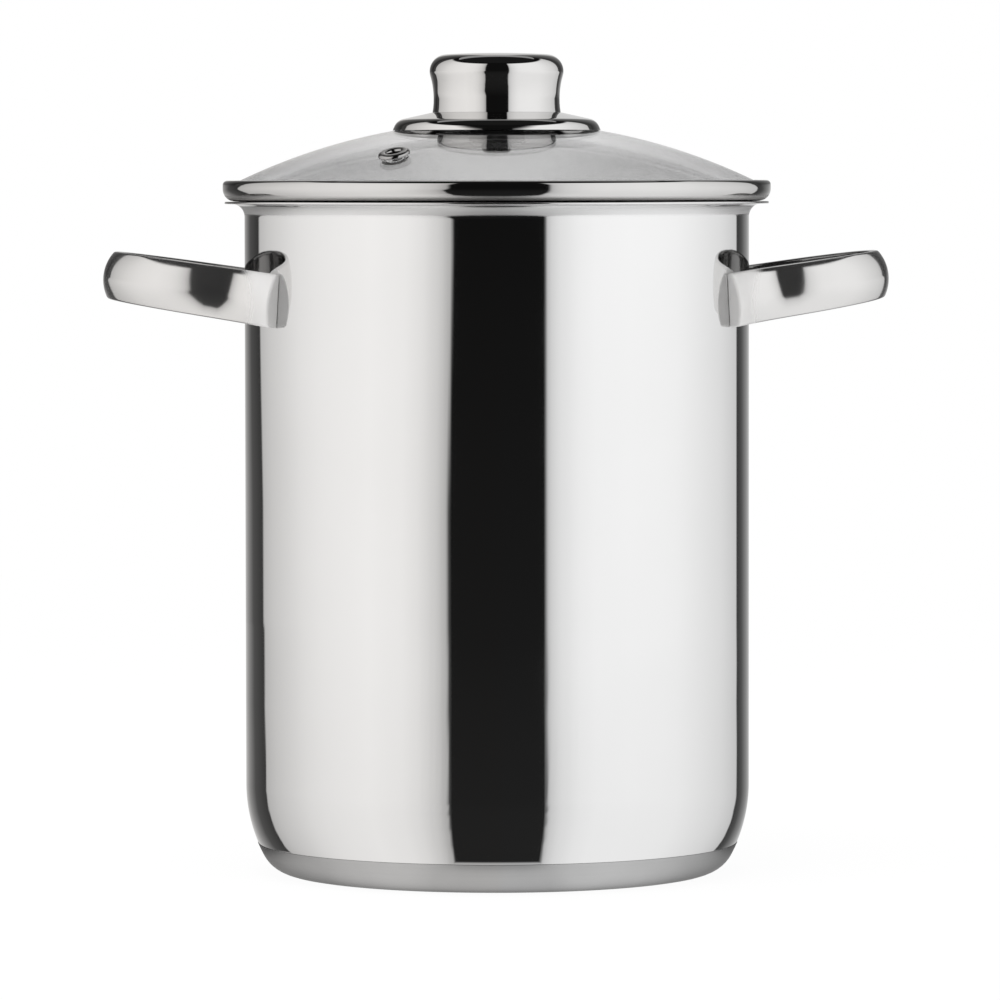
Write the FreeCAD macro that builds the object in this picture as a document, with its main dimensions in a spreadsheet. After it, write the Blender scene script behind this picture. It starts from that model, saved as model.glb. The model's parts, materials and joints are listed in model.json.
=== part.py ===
import FreeCAD, Part
import math
import os
import Sketcher

# Asparagus pot: a tall steel pot with an encapsulated base, two cast side handles,
# a glass lid in a rolled steel band, and a lift-out wire basket with two swing handles.
# Millimetres, +Z up. The origin is on the pot's axis, at the underside of the base.

doc = FreeCAD.newDocument("AsparagusPot")
sheet = doc.addObject("Spreadsheet::Sheet", "Sizes")


class Size:
    """A number, with the expression that works it out from the sheet."""

    def __init__(self, number, text):
        self.number = float(number)
        self.text = text

    def __add__(self, other):
        other = as_size(other)
        return Size(self.number + other.number, f"({self.text} + {other.text})")

    def __sub__(self, other):
        other = as_size(other)
        return Size(self.number - other.number, f"({self.text} - {other.text})")

    def __mul__(self, other):
        other = as_size(other)
        return Size(self.number * other.number, f"({self.text} * {other.text})")

    def __truediv__(self, other):
        other = as_size(other)
        return Size(self.number / other.number, f"({self.text} / {other.text})")

    def __neg__(self):
        return Size(-self.number, f"(0 - {self.text})")

    def __rsub__(self, other):
        return as_size(other) - self

    __radd__ = __add__
    __rmul__ = __mul__


def as_size(value):
    """A plain number as a Size, and a Size as itself."""
    if isinstance(value, Size):
        return value
    return Size(value, repr(round(float(value), 9)))


def root(value):
    """Square root of a Size."""
    return Size(math.sqrt(value.number), f"sqrt({value.text})")


def sine(angle):
    """Sine of an angle in degrees."""
    return Size(math.sin(math.radians(angle.number)), f"sin({angle.text})")


def cosine(angle):
    """Cosine of an angle in degrees."""
    return Size(math.cos(math.radians(angle.number)), f"cos({angle.text})")


def leg(long_side, side):
    """The other short side of a right triangle."""
    return root(long_side * long_side - side * side)


def size(name, number, meaning):
    """Write one driving size to the sheet, with its alias and what it means."""
    row = 1
    while sheet.getContents(f"A{row}"):
        row += 1
    sheet.set(f"A{row}", name)
    sheet.set(f"B{row}", str(number))
    sheet.set(f"C{row}", meaning)
    sheet.setAlias(f"B{row}", name)
    return Size(number, f"Sizes.{name}")


ZERO = Size(0, "0")
WELD = size("weld_gap", 0.04, "film of weld or solder between two joined pieces")
SEAT = size("seat_gap", 0.05, "air under a piece that only rests")

# Pot
pot_radius = size("pot_radius", 80.1, "outside of the pot wall")
pot_wall = size("pot_wall", 0.7, "sheet of the pot")
rim_top = size("rim_top", 213.6, "top of the pot's turned-out rim")
rim_reach = size("rim_reach", 6.3, "from the wall out to the edge of the rim")
rim_bend = size("rim_bend", 4.0, "bend under the rim, on the outside of the sheet")
shoulder_up = size("shoulder_up", 28.5, "where the wall starts to curve in to the base")
shoulder_bend = size("shoulder_bend", 48.0, "radius of that long curve")
floor_bend = size("floor_bend", 7.0, "radius between the curve and the flat floor")
floor_up = size("floor_up", 5.5, "underside of the drawn pot, above the table")

# Encapsulated base
cap_wall = size("cap_wall", 0.45, "sheet of the base cap")
cap_proud = size("cap_proud", 0.14, "outside of the cap, out from the pot's long curve")
cap_bend = size("cap_bend", 11.0, "radius round the underside of the cap")
core_setback = size("core_setback", 2.8, "from the cap's seam in to the edge of the core")

# Side handles
handle_drop = size("handle_drop", 29.6, "from the rim down to the strap's middle at the wall")
handle_tilt = size("handle_tilt", 8.75, "rise of the handle, in degrees")
handle_half_span = size("handle_half_span", 33.0, "half the width across the loop")
strap_tall = size("strap_tall", 15.0, "height of the strap at the far end of the loop")
strap_thick = size("strap_thick", 5.0, "thickness at the middle of the strap")
strap_edge = size("strap_edge", 2.6, "thickness at the strap's rounded edges")
foot_tall = size("foot_tall", 16.9, "height of the strap at its foot")
foot_thick = size("foot_thick", 6.4, "thickness at the middle of the foot")
foot_edge = size("foot_edge", 4.4, "thickness at the foot's rounded edges")
flare_radius = size("flare_radius", 20.0, "bend where a leg spreads to its foot")
flare_angle = size("flare_angle", 45.0, "how far the foot turns out, in degrees")
leg_run = size("leg_run", 4.1, "straight leg between the loop and that bend")
foot_off = size("foot_off", 4.2, "end of that bend from the wall")
foot_run = size("foot_run", 4.2, "straight end of the foot, trimmed to the wall")

# Glass lid
glass_wall = size("glass_wall", 4.0, "thickness of the glass")
glass_rise = size("glass_rise", 19.15, "top of the dome above its flat edge")
glass_over = size("glass_over", 5.7, "from the pot's wall out to the edge of the glass")
glass_flat = size("glass_flat", 3.13, "width of the flat edge round the dome")
glass_lift = size("glass_lift", 2.15, "underside of the glass above the pot's rim")
glass_hole = size("glass_hole", 4.0, "radius of the hole for the knob's screw")
glass_round = size("glass_round", 1.2, "rounded edge of the glass")

# Steel band round the glass
band_wall = size("band_wall", 0.5, "sheet of the band")
band_gap = size("band_gap", 0.7, "from the glass edge to the band")
band_curl = size("band_curl", 3.5, "how far the band folds in over the glass")
band_bend = size("band_bend", 3.7, "large bend at the foot of the band")
band_top_bend = size("band_top_bend", 1.2, "bend at the top of the band")
skirt_gap = size("skirt_gap", 0.65, "between the skirt and the inside of the pot")
skirt_deep = size("skirt_deep", 4.95, "how far the skirt reaches into the pot")
skirt_fold = size("skirt_fold", 1.2, "width of the fold at the skirt's foot")
ledge_reach = size("ledge_reach", 6.6, "width of the ledge that carries the glass")

# Steam vent
vent_out = size("vent_out", 62.5, "vent to the lid's axis, along the glass")
vent_turn = size("vent_turn", 236.3, "direction of the vent, in degrees from +X")
vent_bore = size("vent_bore", 2.2, "radius of the steam hole")
vent_sleeve = size("vent_sleeve", 2.9, "radius of the eyelet's sleeve")
vent_flange = size("vent_flange", 5.0, "radius of the eyelet's upper ring")
vent_tail = size("vent_tail", 4.2, "radius of the eyelet's lower ring")
vent_crown = size("vent_crown", 1.3, "height of the upper ring")

# Knob
knob_waist = size("knob_waist", 20.0, "radius at the knob's waist")
knob_waist_up = size("knob_waist_up", 4.3, "waist above the foot of the knob")
knob_hollow = size("knob_hollow", 26.0, "radius of the knob's hollow side")
knob_tall = size("knob_tall", 18.85, "height of the knob")
knob_crown = size("knob_crown", 1.05, "rise of the knob's top")
knob_round = size("knob_round", 5.3, "round edge of the knob's top")
knob_wall = size("knob_wall", 0.8, "sheet of the knob")
insert_tall = size("insert_tall", 14.5, "height of the moulded insert")
insert_web = size("insert_web", 2.0, "wall of the insert")
insert_boss = size("insert_boss", 6.0, "radius of the insert's screw boss")
insert_ribs = size("insert_ribs", 6, "ribs from the boss to the wall")
rose_radius = size("rose_radius", 33.05, "edge of the dished plate under the knob")
rose_shoulder = size("rose_shoulder", 31.7, "corner of the dished plate")
rose_flat = size("rose_flat", 20.6, "flat seat of the knob on that plate")
rose_drop = size("rose_drop", 2.45, "from the flat seat down to the corner")
rose_round = size("rose_round", 2.5, "round corner of the plate")
rose_wall = size("rose_wall", 0.7, "sheet of the plate")
rose_up = size("rose_up", 2.85, "top of the plate above the top of the glass")
gasket_radius = size("gasket_radius", 9.0, "radius of the rubber seals")
gasket_thick = size("gasket_thick", 1.5, "thickness of the seal under the glass")
washer_radius = size("washer_radius", 8.0, "radius of the steel washer")
washer_thick = size("washer_thick", 1.0, "thickness of the steel washer")
screw_radius = size("screw_radius", 2.5, "M5 screw")
screw_long = size("screw_long", 20.0, "screw under its head")
screw_head = size("screw_head", 4.75, "radius of the screw's head")
screw_head_tall = size("screw_head_tall", 2.9, "height of the screw's head")
screw_play = size("screw_play", 0.1, "round the screw in its washers and boss")

# Basket
ring_gap = size("ring_gap", 3.75, "between the basket and the inside of the pot")
ring_up = size("ring_up", 172.0, "height of the top wire")
ring_thick = size("ring_thick", 4.0, "thick wires: top ring and swing handles")
hoop_thick = size("hoop_thick", 3.0, "hoops round the basket and under its floor")
stave_thick = size("stave_thick", 2.5, "upright, floor and foot wires")
stave_count = size("stave_count", 20, "upright wires")
stave_foot = size("stave_foot", 13.0, "lower end of the uprights")
floor_hoop_up = size("floor_hoop_up", 16.0, "height of the hoop under the floor wires")
grid_edge = size("grid_edge", 17.2, "from the floor hoop in to the outermost floor wires")
grid_count = size("grid_count", 7, "floor wires")
brace_out = size("brace_out", 26.0, "cross wires to the middle")
foot_count = size("foot_count", 3, "bent wires that the basket stands on")
foot_half = size("foot_half", 12.0, "half the width of such a foot")
foot_bend = size("foot_bend", 3.5, "bends of the foot")
eye_wall = size("eye_wall", 1.35, "wall of the hinge eyes")
eye_long = size("eye_long", 8.0, "length of the hinge eyes")
hinge_play = size("hinge_play", 0.06, "round the wire in its eye")
bail_drop = size("bail_drop", 42.0, "swing handle: hinge to grip")
bail_bend = size("bail_bend", 14.0, "bends beside the grip")
bail_neck = size("bail_neck", 4.0, "bends beside the hinge")
bail_end = size("bail_end", 1.0, "wire end past the eye")

X_AXIS = FreeCAD.Vector(1, 0, 0)
Y_AXIS = FreeCAD.Vector(0, 1, 0)
Z_AXIS = FreeCAD.Vector(0, 0, 1)
NO_TURN = FreeCAD.Rotation()
CIRCLE = 360
LEFT = 1
RIGHT = -1
pieces = []


def turned(axis, degrees):
    """A rotation about one axis."""
    return FreeCAD.Rotation(axis, degrees)


def place(piece, across=ZERO, along=ZERO, up=ZERO, turn=NO_TURN):
    """Put a piece where it belongs, with its distances bound to the sheet."""
    spot = FreeCAD.Vector(across.number, along.number, up.number)
    piece.Placement = FreeCAD.Placement(spot, turn)
    for letter, distance in zip("xyz", (across, along, up)):
        if distance is not ZERO:
            piece.setExpression(f"Placement.Base.{letter}", distance.text)


def new_body(label):
    """A body for one physical piece. Its label names the piece."""
    body = doc.addObject("PartDesign::Body", label)
    body.Label = label
    pieces.append(body)
    return body


def origin_plane(body, role):
    """One of the body's own origin planes."""
    for feature in body.Origin.OriginFeatures:
        if feature.Role == role:
            return feature
    raise LookupError(role)


def new_sketch(body, role, name):
    """An empty sketch on one of the body's origin planes."""
    sketch = body.newObject("Sketcher::SketchObject", name)
    sketch.AttachmentSupport = [(origin_plane(body, role), "")]
    sketch.MapMode = "FlatFace"
    return sketch


def constrain(sketch, kind, *where, value=None):
    """Add one constraint. A value is bound to its expression."""
    if value is None:
        return sketch.addConstraint(Sketcher.Constraint(kind, *where))
    index = sketch.addConstraint(Sketcher.Constraint(kind, *where, value.number))
    sketch.setExpression(f"Constraints[{index}]", value.text)
    return index


def pin_point(sketch, geometry, point, across, up):
    """Fix a point of the sketch by its two distances from the origin."""
    if across is ZERO:
        constrain(sketch, "PointOnObject", geometry, point, -2)
    else:
        constrain(sketch, "DistanceX", -1, 1, geometry, point, value=across)
    if up is ZERO:
        constrain(sketch, "PointOnObject", geometry, point, -1)
    else:
        constrain(sketch, "DistanceY", -1, 1, geometry, point, value=up)


def flat(x, y):
    """A vector in the sketch's plane."""
    return FreeCAD.Vector(x, y, 0)


class Corner:
    """A corner of an outline: its place, the radius that rounds it, and the bend of its next edge."""

    def __init__(self, across, up, soft=None, bend=None, side=LEFT):
        self.across = as_size(across) if across is not ZERO else ZERO
        self.up = as_size(up) if up is not ZERO else ZERO
        self.soft = soft
        self.bend = bend
        self.side = side
        self.point = flat(self.across.number, self.up.number)


def arc_between(start, end, radius, side):
    """The centre of the short arc from start to end that turns to the given side."""
    middle = (start + end) * 0.5
    chord = end - start
    half = chord.Length / 2
    away = math.sqrt(max(radius * radius - half * half, 0.0))
    to_left = flat(-chord.y, chord.x) * (1 / chord.Length)
    return middle + to_left * away * side


def add_arc(sketch, start, end, centre, side):
    """Draw an arc and say which of its ends is the start: the program's arcs all run to the left."""
    radius = (start - centre).Length
    first = math.atan2(start.y - centre.y, start.x - centre.x)
    last = math.atan2(end.y - centre.y, end.x - centre.x)
    if side == RIGHT:
        first, last = last, first
    if last <= first:
        last += 2 * math.pi
    circle = Part.Circle(centre, Z_AXIS, radius)
    geometry = sketch.addGeometry(Part.ArcOfCircle(circle, first, last), False)
    return (geometry, 1, 2) if side == LEFT else (geometry, 2, 1)


def soft_points(before, corner, after):
    """Where a rounded corner leaves its two straight edges, and which way it turns."""
    back = (before.point - corner.point).normalize()
    onward = (after.point - corner.point).normalize()
    half_angle = back.getAngle(onward) / 2
    run = corner.soft.number / math.tan(half_angle)
    turn = (corner.point - before.point).cross(after.point - corner.point).z
    return corner.point + back * run, corner.point + onward * run, LEFT if turn > 0 else RIGHT


def draw(sketch, corners, closed=True):
    """Draw an outline or a path through its corners, all of it dimensioned from the sheet."""
    count = len(corners)
    arrive = [corner.point for corner in corners]
    depart = [corner.point for corner in corners]
    turns = [LEFT] * count
    for index, corner in enumerate(corners):
        if corner.soft:
            before = corners[index - 1]
            after = corners[(index + 1) % count]
            arrive[index], depart[index], turns[index] = soft_points(before, corner, after)
    edges = []
    for index in range(count if closed else count - 1):
        start = depart[index]
        end = arrive[(index + 1) % count]
        corner = corners[index]
        if corner.bend:
            centre = arc_between(start, end, corner.bend.number, corner.side)
            edges.append(add_arc(sketch, start, end, centre, corner.side))
            constrain(sketch, "Radius", edges[-1][0], value=corner.bend)
        else:
            edges.append((sketch.addGeometry(Part.LineSegment(start, end), False), 1, 2))
    for index, corner in enumerate(corners):
        inner = closed or 0 < index < count - 1
        last_of_path = not closed and index == count - 1
        if not inner:
            geometry, first, last = edges[-1] if last_of_path else edges[0]
            pin_point(sketch, geometry, last if last_of_path else first, corner.across, corner.up)
            continue
        into, _, into_last = edges[index - 1]
        out, out_first, _ = edges[index]
        if not corner.soft:
            constrain(sketch, "Coincident", into, into_last, out, out_first)
            pin_point(sketch, out, out_first, corner.across, corner.up)
            continue
        way = turns[index]
        radius = corner.soft.number
        centre = arc_between(arrive[index], depart[index], radius, way)
        arc, arc_first, arc_last = add_arc(sketch, arrive[index], depart[index], centre, way)
        mark = sketch.addGeometry(Part.Point(corner.point), True)
        pin_point(sketch, mark, 1, corner.across, corner.up)
        constrain(sketch, "PointOnObject", mark, 1, into)
        constrain(sketch, "PointOnObject", mark, 1, out)
        constrain(sketch, "Tangent", into, into_last, arc, arc_first)
        constrain(sketch, "Tangent", arc, arc_last, out, out_first)
        constrain(sketch, "Radius", arc, value=corner.soft)


def outline(body, role, name, corners):
    """A sketch that holds one closed outline."""
    sketch = new_sketch(body, role, name)
    draw(sketch, corners)
    return sketch


def circle(body, role, name, radius, across=ZERO, up=ZERO):
    """A sketch that holds one circle."""
    sketch = new_sketch(body, role, name)
    centre = flat(across.number, up.number)
    geometry = sketch.addGeometry(Part.Circle(centre, Z_AXIS, radius.number), False)
    pin_point(sketch, geometry, 3, across, up)
    constrain(sketch, "Radius", geometry, value=radius)
    return sketch


def revolve(body, sketch, name="Turn"):
    """Turn an outline right round the body's own Z axis."""
    feature = body.newObject("PartDesign::Revolution", name)
    feature.Profile = sketch
    feature.ReferenceAxis = (sketch, ["V_Axis"])
    feature.Angle = CIRCLE
    return feature


def cut_through(body, sketch, name):
    """Cut an outline through the whole body, both ways from its plane."""
    before = body.Tip
    feature = body.newObject("PartDesign::Pocket", name)
    feature.Profile = sketch
    feature.Type = "ThroughAll"
    feature.SideType = "Symmetric"
    check_cut(before, feature)
    return feature


def check_cut(before, feature):
    """A cut has to take something away."""
    doc.recompute()
    if feature.Shape.Volume >= before.Shape.Volume:
        raise ValueError(f"{feature.Label} cuts nothing")


def mirrored(body, feature, role):
    """The feature and its mirror image across one of the body's planes."""
    image = body.newObject("PartDesign::Mirrored", "BothHalves")
    image.Originals = [feature]
    image.MirrorPlane = (origin_plane(body, role), [""])
    body.Tip = image
    return image


def sweep(body, profile, path, name="Sweep"):
    """Carry a profile along a path."""
    doc.recompute()
    feature = body.newObject("PartDesign::AdditivePipe", name)
    feature.Profile = profile
    names = [f"Edge{number + 1}" for number in range(len(path.Shape.Edges))]
    feature.Spine = (path, names)
    return feature


def straight_wire(label, thickness, length):
    """A straight wire, cut square at both ends."""
    wire = doc.addObject("Part::Cylinder", label)
    wire.Label = label
    wire.Radius = thickness.number / 2
    wire.Height = length.number
    wire.setExpression("Radius", (thickness / 2).text)
    wire.setExpression("Height", length.text)
    pieces.append(wire)
    return wire


def hoop(label, radius, thickness, up):
    """A closed ring of round wire."""
    body = new_body(label)
    revolve(body, circle(body, "XZ_Plane", "WireSection", thickness / 2, across=radius))
    place(body, up=up)
    return body


# Drawn pot


rim_radius = pot_radius + rim_reach


def shoulder_centre():
    """Centre of the long curve from the wall to the base."""
    return pot_radius - shoulder_bend, shoulder_up


def floor_edge():
    """Radius of the flat floor, where the tight bend starts."""
    across, up = shoulder_centre()
    drop = up - floor_up - floor_bend
    return across + leg(shoulder_bend - floor_bend, drop)


def seam_point(out):
    """Where the tight bend runs into the long curve, moved out from the sheet by a distance."""
    across, up = shoulder_centre()
    drop = up - floor_up - floor_bend
    reach = (shoulder_bend + out) / (shoulder_bend - floor_bend)
    return across + (floor_edge() - across) * reach, up - drop * reach


def pot_side(inset):
    """One side of the pot's sheet, from the axis out to the rim. The inset is nought for the outside."""
    seam_across, seam_up = seam_point(-inset)
    wall = pot_radius - inset
    bend_up = rim_top - pot_wall - rim_bend
    rim_under = rim_top - pot_wall + inset
    return [
        Corner(ZERO, floor_up + inset),
        Corner(floor_edge(), floor_up + inset, bend=floor_bend - inset),
        Corner(seam_across, seam_up, bend=shoulder_bend - inset),
        Corner(wall, shoulder_up),
        Corner(wall, bend_up, bend=rim_bend + inset, side=RIGHT),
        Corner(pot_radius + rim_bend, rim_under),
    ]


def reversed_side(corners):
    """The same side walked the other way, with each bend on the edge it belongs to."""
    walked = []
    for index in range(len(corners) - 1, -1, -1):
        corner = corners[index]
        before = corners[index - 1] if index else None
        bend = before.bend if before else None
        side = -before.side if before else LEFT
        walked.append(Corner(corner.across, corner.up, corner.soft, bend, side))
    return walked


def make_pot():
    """The deep-drawn pot: one sheet from the floor to the turned-out rim."""
    body = new_body("pot_body")
    edge = pot_wall / 2
    rim_end = [
        Corner(rim_radius, rim_top - pot_wall, soft=edge * 0.9),
        Corner(rim_radius, rim_top, soft=edge * 0.9),
    ]
    corners = pot_side(ZERO) + rim_end + reversed_side(pot_side(pot_wall))
    revolve(body, outline(body, "XZ_Plane", "SheetSection", corners))
    place(body)


def cap_corners(inset):
    """One side of the base cap, from the axis to its upper curve. The inset is nought for the outside."""
    across, up = shoulder_centre()
    reach = shoulder_bend + cap_proud
    drop = up - cap_bend
    flat_edge = across + leg(reach - cap_bend, drop)
    scale = (reach - inset) / (reach - cap_bend)
    return [
        Corner(ZERO, inset),
        Corner(flat_edge, inset, bend=cap_bend - inset),
        Corner(across + (flat_edge - across) * scale, up - drop * scale, bend=reach - inset),
    ]


def tuck_point():
    """Where the inside of the cap meets the pot's tight bend, which it follows from there to the seam."""
    across, up = shoulder_centre()
    apart = shoulder_bend - floor_bend
    wide = shoulder_bend + cap_proud - cap_wall
    tight = floor_bend + WELD
    along = (wide * wide - tight * tight + apart * apart) / (apart * 2)
    off = leg(wide, along)
    run = (floor_edge() - across) / apart
    fall = (up - floor_up - floor_bend) / apart
    return across + along * run - off * fall, up - along * fall - off * run


def make_base_cap():
    """The satin steel cap that closes the base. Its edge is pressed thin, nearly flush with the pot."""
    body = new_body("base_cap")
    tuck_across, tuck_up = tuck_point()
    seam = [
        Corner(*seam_point(cap_proud)),
        Corner(*seam_point(WELD), bend=floor_bend + WELD, side=RIGHT),
        Corner(tuck_across, tuck_up, bend=shoulder_bend + cap_proud - cap_wall, side=RIGHT),
    ]
    inside = reversed_side(cap_corners(cap_wall))
    revolve(body, outline(body, "XZ_Plane", "SheetSection", cap_corners(ZERO) + seam + inside))
    place(body)


def make_base_core():
    """The aluminium disc between the pot and the cap, which spreads the heat."""
    body = new_body("base_core")
    seam_across, seam_up = seam_point(ZERO)
    edge = seam_across - core_setback
    tight = floor_bend + WELD
    low = cap_corners(cap_wall + WELD)[:2]
    upper = floor_up + floor_bend - leg(tight, edge - floor_edge())
    lower = cap_bend - leg(low[1].bend, edge - low[1].across)
    corners = low + [
        Corner(edge, lower),
        Corner(edge, upper, bend=tight, side=RIGHT),
        Corner(floor_edge(), floor_up - WELD),
        Corner(ZERO, floor_up - WELD),
    ]
    revolve(body, outline(body, "XZ_Plane", "DiscSection", corners))
    place(body)


# Side handles


handle_loop = handle_half_span - strap_thick / 2
flare_along = handle_loop + flare_radius * (1 - cosine(flare_angle))
flare_across = leg(pot_radius, flare_along) + foot_off
loop_centre = flare_across + flare_radius * sine(flare_angle) + leg_run
handle_reach = loop_centre + handle_half_span


def strap_section(body, name, inner, tall, thick, edge):
    """Crowned section of the handle's strap, with its flat inner side at the given distance."""
    shoulder = inner + edge
    half = tall / 2
    rise = thick - edge
    crown = (half * half + rise * rise) / (rise * 2)
    edge_round = strap_edge / 3
    corners = [
        Corner(inner, -half, soft=edge_round),
        Corner(shoulder - edge_round, -half),
        Corner(shoulder, -half + edge_round, bend=crown, side=LEFT),
        Corner(shoulder, half - edge_round),
        Corner(shoulder - edge_round, half),
        Corner(inner, half, soft=edge_round),
    ]
    return outline(body, "XZ_Plane", name, corners)


def make_side_handle(label, turn):
    """A cast loop, flat at its far end and spread to two feet, trimmed to the round wall."""
    body = new_body(label)
    foot_across = flare_across - foot_run * cosine(flare_angle)
    foot_along = flare_along + foot_run * sine(flare_angle)
    path = new_sketch(body, "XY_Plane", "HalfLoop")
    draw(path, [
        Corner(loop_centre + handle_loop, ZERO, bend=handle_loop),
        Corner(loop_centre, handle_loop),
        Corner(loop_centre - leg_run, handle_loop, bend=flare_radius, side=RIGHT),
        Corner(flare_across, flare_along),
        Corner(foot_across, foot_along),
    ], closed=False)
    inner = handle_reach - strap_thick
    section = strap_section(body, "StrapSection", inner, strap_tall, strap_thick, strap_edge)
    foot = strap_section(body, "FootSection", -foot_thick / 2, foot_tall, foot_thick, foot_edge)
    spread = 90 - flare_angle
    spot = FreeCAD.Vector(foot_across.number, 0, -foot_along.number)
    foot.AttachmentOffset = FreeCAD.Placement(spot, turned(Y_AXIS, spread.number))
    foot.setExpression("AttachmentOffset.Base.x", foot_across.text)
    foot.setExpression("AttachmentOffset.Base.z", (-foot_along).text)
    foot.setExpression("AttachmentOffset.Rotation.Angle", spread.text)
    strap = sweep(body, section, path)
    strap.Sections = [foot]
    strap.Transformation = "Multisection"
    mirrored(body, strap, "XZ_Plane")
    wall = circle(body, "XY_Plane", "PotWall", pot_radius + WELD)
    wall.AttachmentOffset = FreeCAD.Placement(FreeCAD.Vector(), turned(Y_AXIS, handle_tilt.number))
    wall.setExpression("AttachmentOffset.Rotation.Angle", handle_tilt.text)
    cut_through(body, wall, "FitToWall")
    rise = pot_radius * sine(handle_tilt) / cosine(handle_tilt)
    slope = turned(Z_AXIS, turn) * turned(Y_AXIS, -handle_tilt.number)
    place(body, up=rim_top - handle_drop - rise, turn=slope)


# Lid


glass_edge = pot_radius + glass_over
glass_bend = glass_edge - glass_flat
glass_radius = (glass_bend * glass_bend + glass_rise * glass_rise) / (glass_rise * 2)
glass_under = rim_top + glass_lift
glass_top = glass_under + glass_wall + glass_rise
dome_centre = glass_top - glass_radius


def dome_up(radius, out):
    """Height of a sphere about the dome's centre, at a distance out from the axis."""
    return dome_centre + leg(radius, out)


def make_lid_glass():
    """Domed glass with a flat edge, a hole for the knob's screw and one for the vent."""
    body = new_body("lid_glass")
    inner = glass_radius - glass_wall
    flat_in = leg(inner, glass_under - dome_centre)
    corners = [
        Corner(glass_hole, dome_up(inner, glass_hole), bend=inner, side=RIGHT),
        Corner(flat_in, glass_under),
        Corner(glass_edge, glass_under, soft=glass_round),
        Corner(glass_edge, glass_under + glass_wall, soft=glass_round),
        Corner(glass_bend, glass_under + glass_wall, bend=glass_radius),
        Corner(glass_hole, dome_up(glass_radius, glass_hole)),
    ]
    dome = revolve(body, outline(body, "XZ_Plane", "GlassSection", corners))
    doc.recompute()
    bore = circle(body, "XY_Plane", "VentBore", vent_sleeve + SEAT)
    lean = vent_lean()
    bore.AttachmentOffset = FreeCAD.Placement(
        FreeCAD.Vector(0, 0, dome_centre.number), turned(Y_AXIS, lean.number))
    bore.setExpression("AttachmentOffset.Base.z", dome_centre.text)
    bore.setExpression("AttachmentOffset.Rotation.Angle", lean.text)
    hole = body.newObject("PartDesign::Pocket", "VentHole")
    hole.Profile = bore
    hole.Type = "ThroughAll"
    hole.Reversed = True
    check_cut(dome, hole)
    place(body, turn=turned(Z_AXIS, vent_turn.number))


def vent_lean():
    """How far the glass leans at the vent, in degrees."""
    share = vent_out / glass_radius
    return Size(math.degrees(math.asin(share.number)), f"asin({share.text})")


def make_vent_eyelet():
    """The rolled steel eyelet that lets steam out. Its own Z axis stands square to the glass."""
    body = new_body("vent_eyelet")
    tail = glass_wall + SEAT
    corners = [
        Corner(vent_bore, -tail - vent_crown / 2),
        Corner(vent_tail, -tail - vent_crown / 2, soft=vent_crown / 4),
        Corner(vent_tail, -tail),
        Corner(vent_sleeve, -tail),
        Corner(vent_sleeve, SEAT),
        Corner(vent_flange, SEAT),
        Corner(vent_flange, vent_crown, soft=vent_crown * 0.8),
        Corner(vent_bore, vent_crown, soft=vent_crown * 0.8),
    ]
    revolve(body, outline(body, "XZ_Plane", "EyeletSection", corners))
    turn = turned(Z_AXIS, vent_turn.number) * turned(Y_AXIS, vent_lean().number)
    across = vent_out * cosine(vent_turn)
    along = vent_out * sine(vent_turn)
    place(body, across=across, along=along, up=dome_up(glass_radius, vent_out), turn=turn)


def strip_outline(path, wall):
    """Both sides of a folded strip whose runs are level or upright. Path: across, up, bend."""
    half = wall / 2
    sides = []
    for side in (LEFT, RIGHT):
        corners = []
        for index, (across, up, bend) in enumerate(path):
            runs = []
            if index > 0:
                runs.append(step(path[index - 1], path[index]))
            if index < len(path) - 1:
                runs.append(step(path[index], path[index + 1]))
            shift_across = sum(-run[1] for run in runs) * side
            shift_up = sum(run[0] for run in runs) * side
            soft = None
            if bend:
                turn = runs[0][0] * runs[1][1] - runs[0][1] * runs[1][0]
                soft = bend - half * turn * side
            corners.append(Corner(across + half * shift_across, up + half * shift_up, soft=soft))
        sides.append(corners)
    return sides[0] + sides[1][::-1]


def step(start, end):
    """Direction of a level or upright run, as whole numbers."""
    across = end[0].number - start[0].number
    up = end[1].number - start[1].number
    if abs(across) > abs(up):
        return (int(math.copysign(1, across)), 0)
    return (0, int(math.copysign(1, up)))


def make_lid_band():
    """The rolled steel band: folded over the glass, round its edge, under it and down into the pot."""
    body = new_body("lid_band")
    half = band_wall / 2
    over = glass_under + glass_wall + WELD + half
    under = glass_under - WELD - half
    rest = rim_top + SEAT + half
    outer = glass_edge + band_gap + half
    skirt = pot_radius - pot_wall - skirt_gap - half
    inner = skirt - skirt_fold
    foot = rim_top - skirt_deep + half
    fold = skirt_fold * 0.45
    path = [
        (outer - band_curl - half, over, None),
        (outer, over, band_top_bend),
        (outer, rest, band_bend),
        (skirt, rest, band_wall * 1.6),
        (skirt, foot, fold),
        (inner, foot, fold),
        (inner, under, band_wall * 1.6),
        (inner + ledge_reach, under, None),
    ]
    revolve(body, outline(body, "XZ_Plane", "BandSection", strip_outline(path, band_wall)))
    place(body)


# Knob


rose_top = glass_top + rose_up
knob_foot = rose_top + SEAT
seal_under = glass_top - glass_wall - SEAT - gasket_thick
screw_under = seal_under - washer_thick - 2 * WELD


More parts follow.
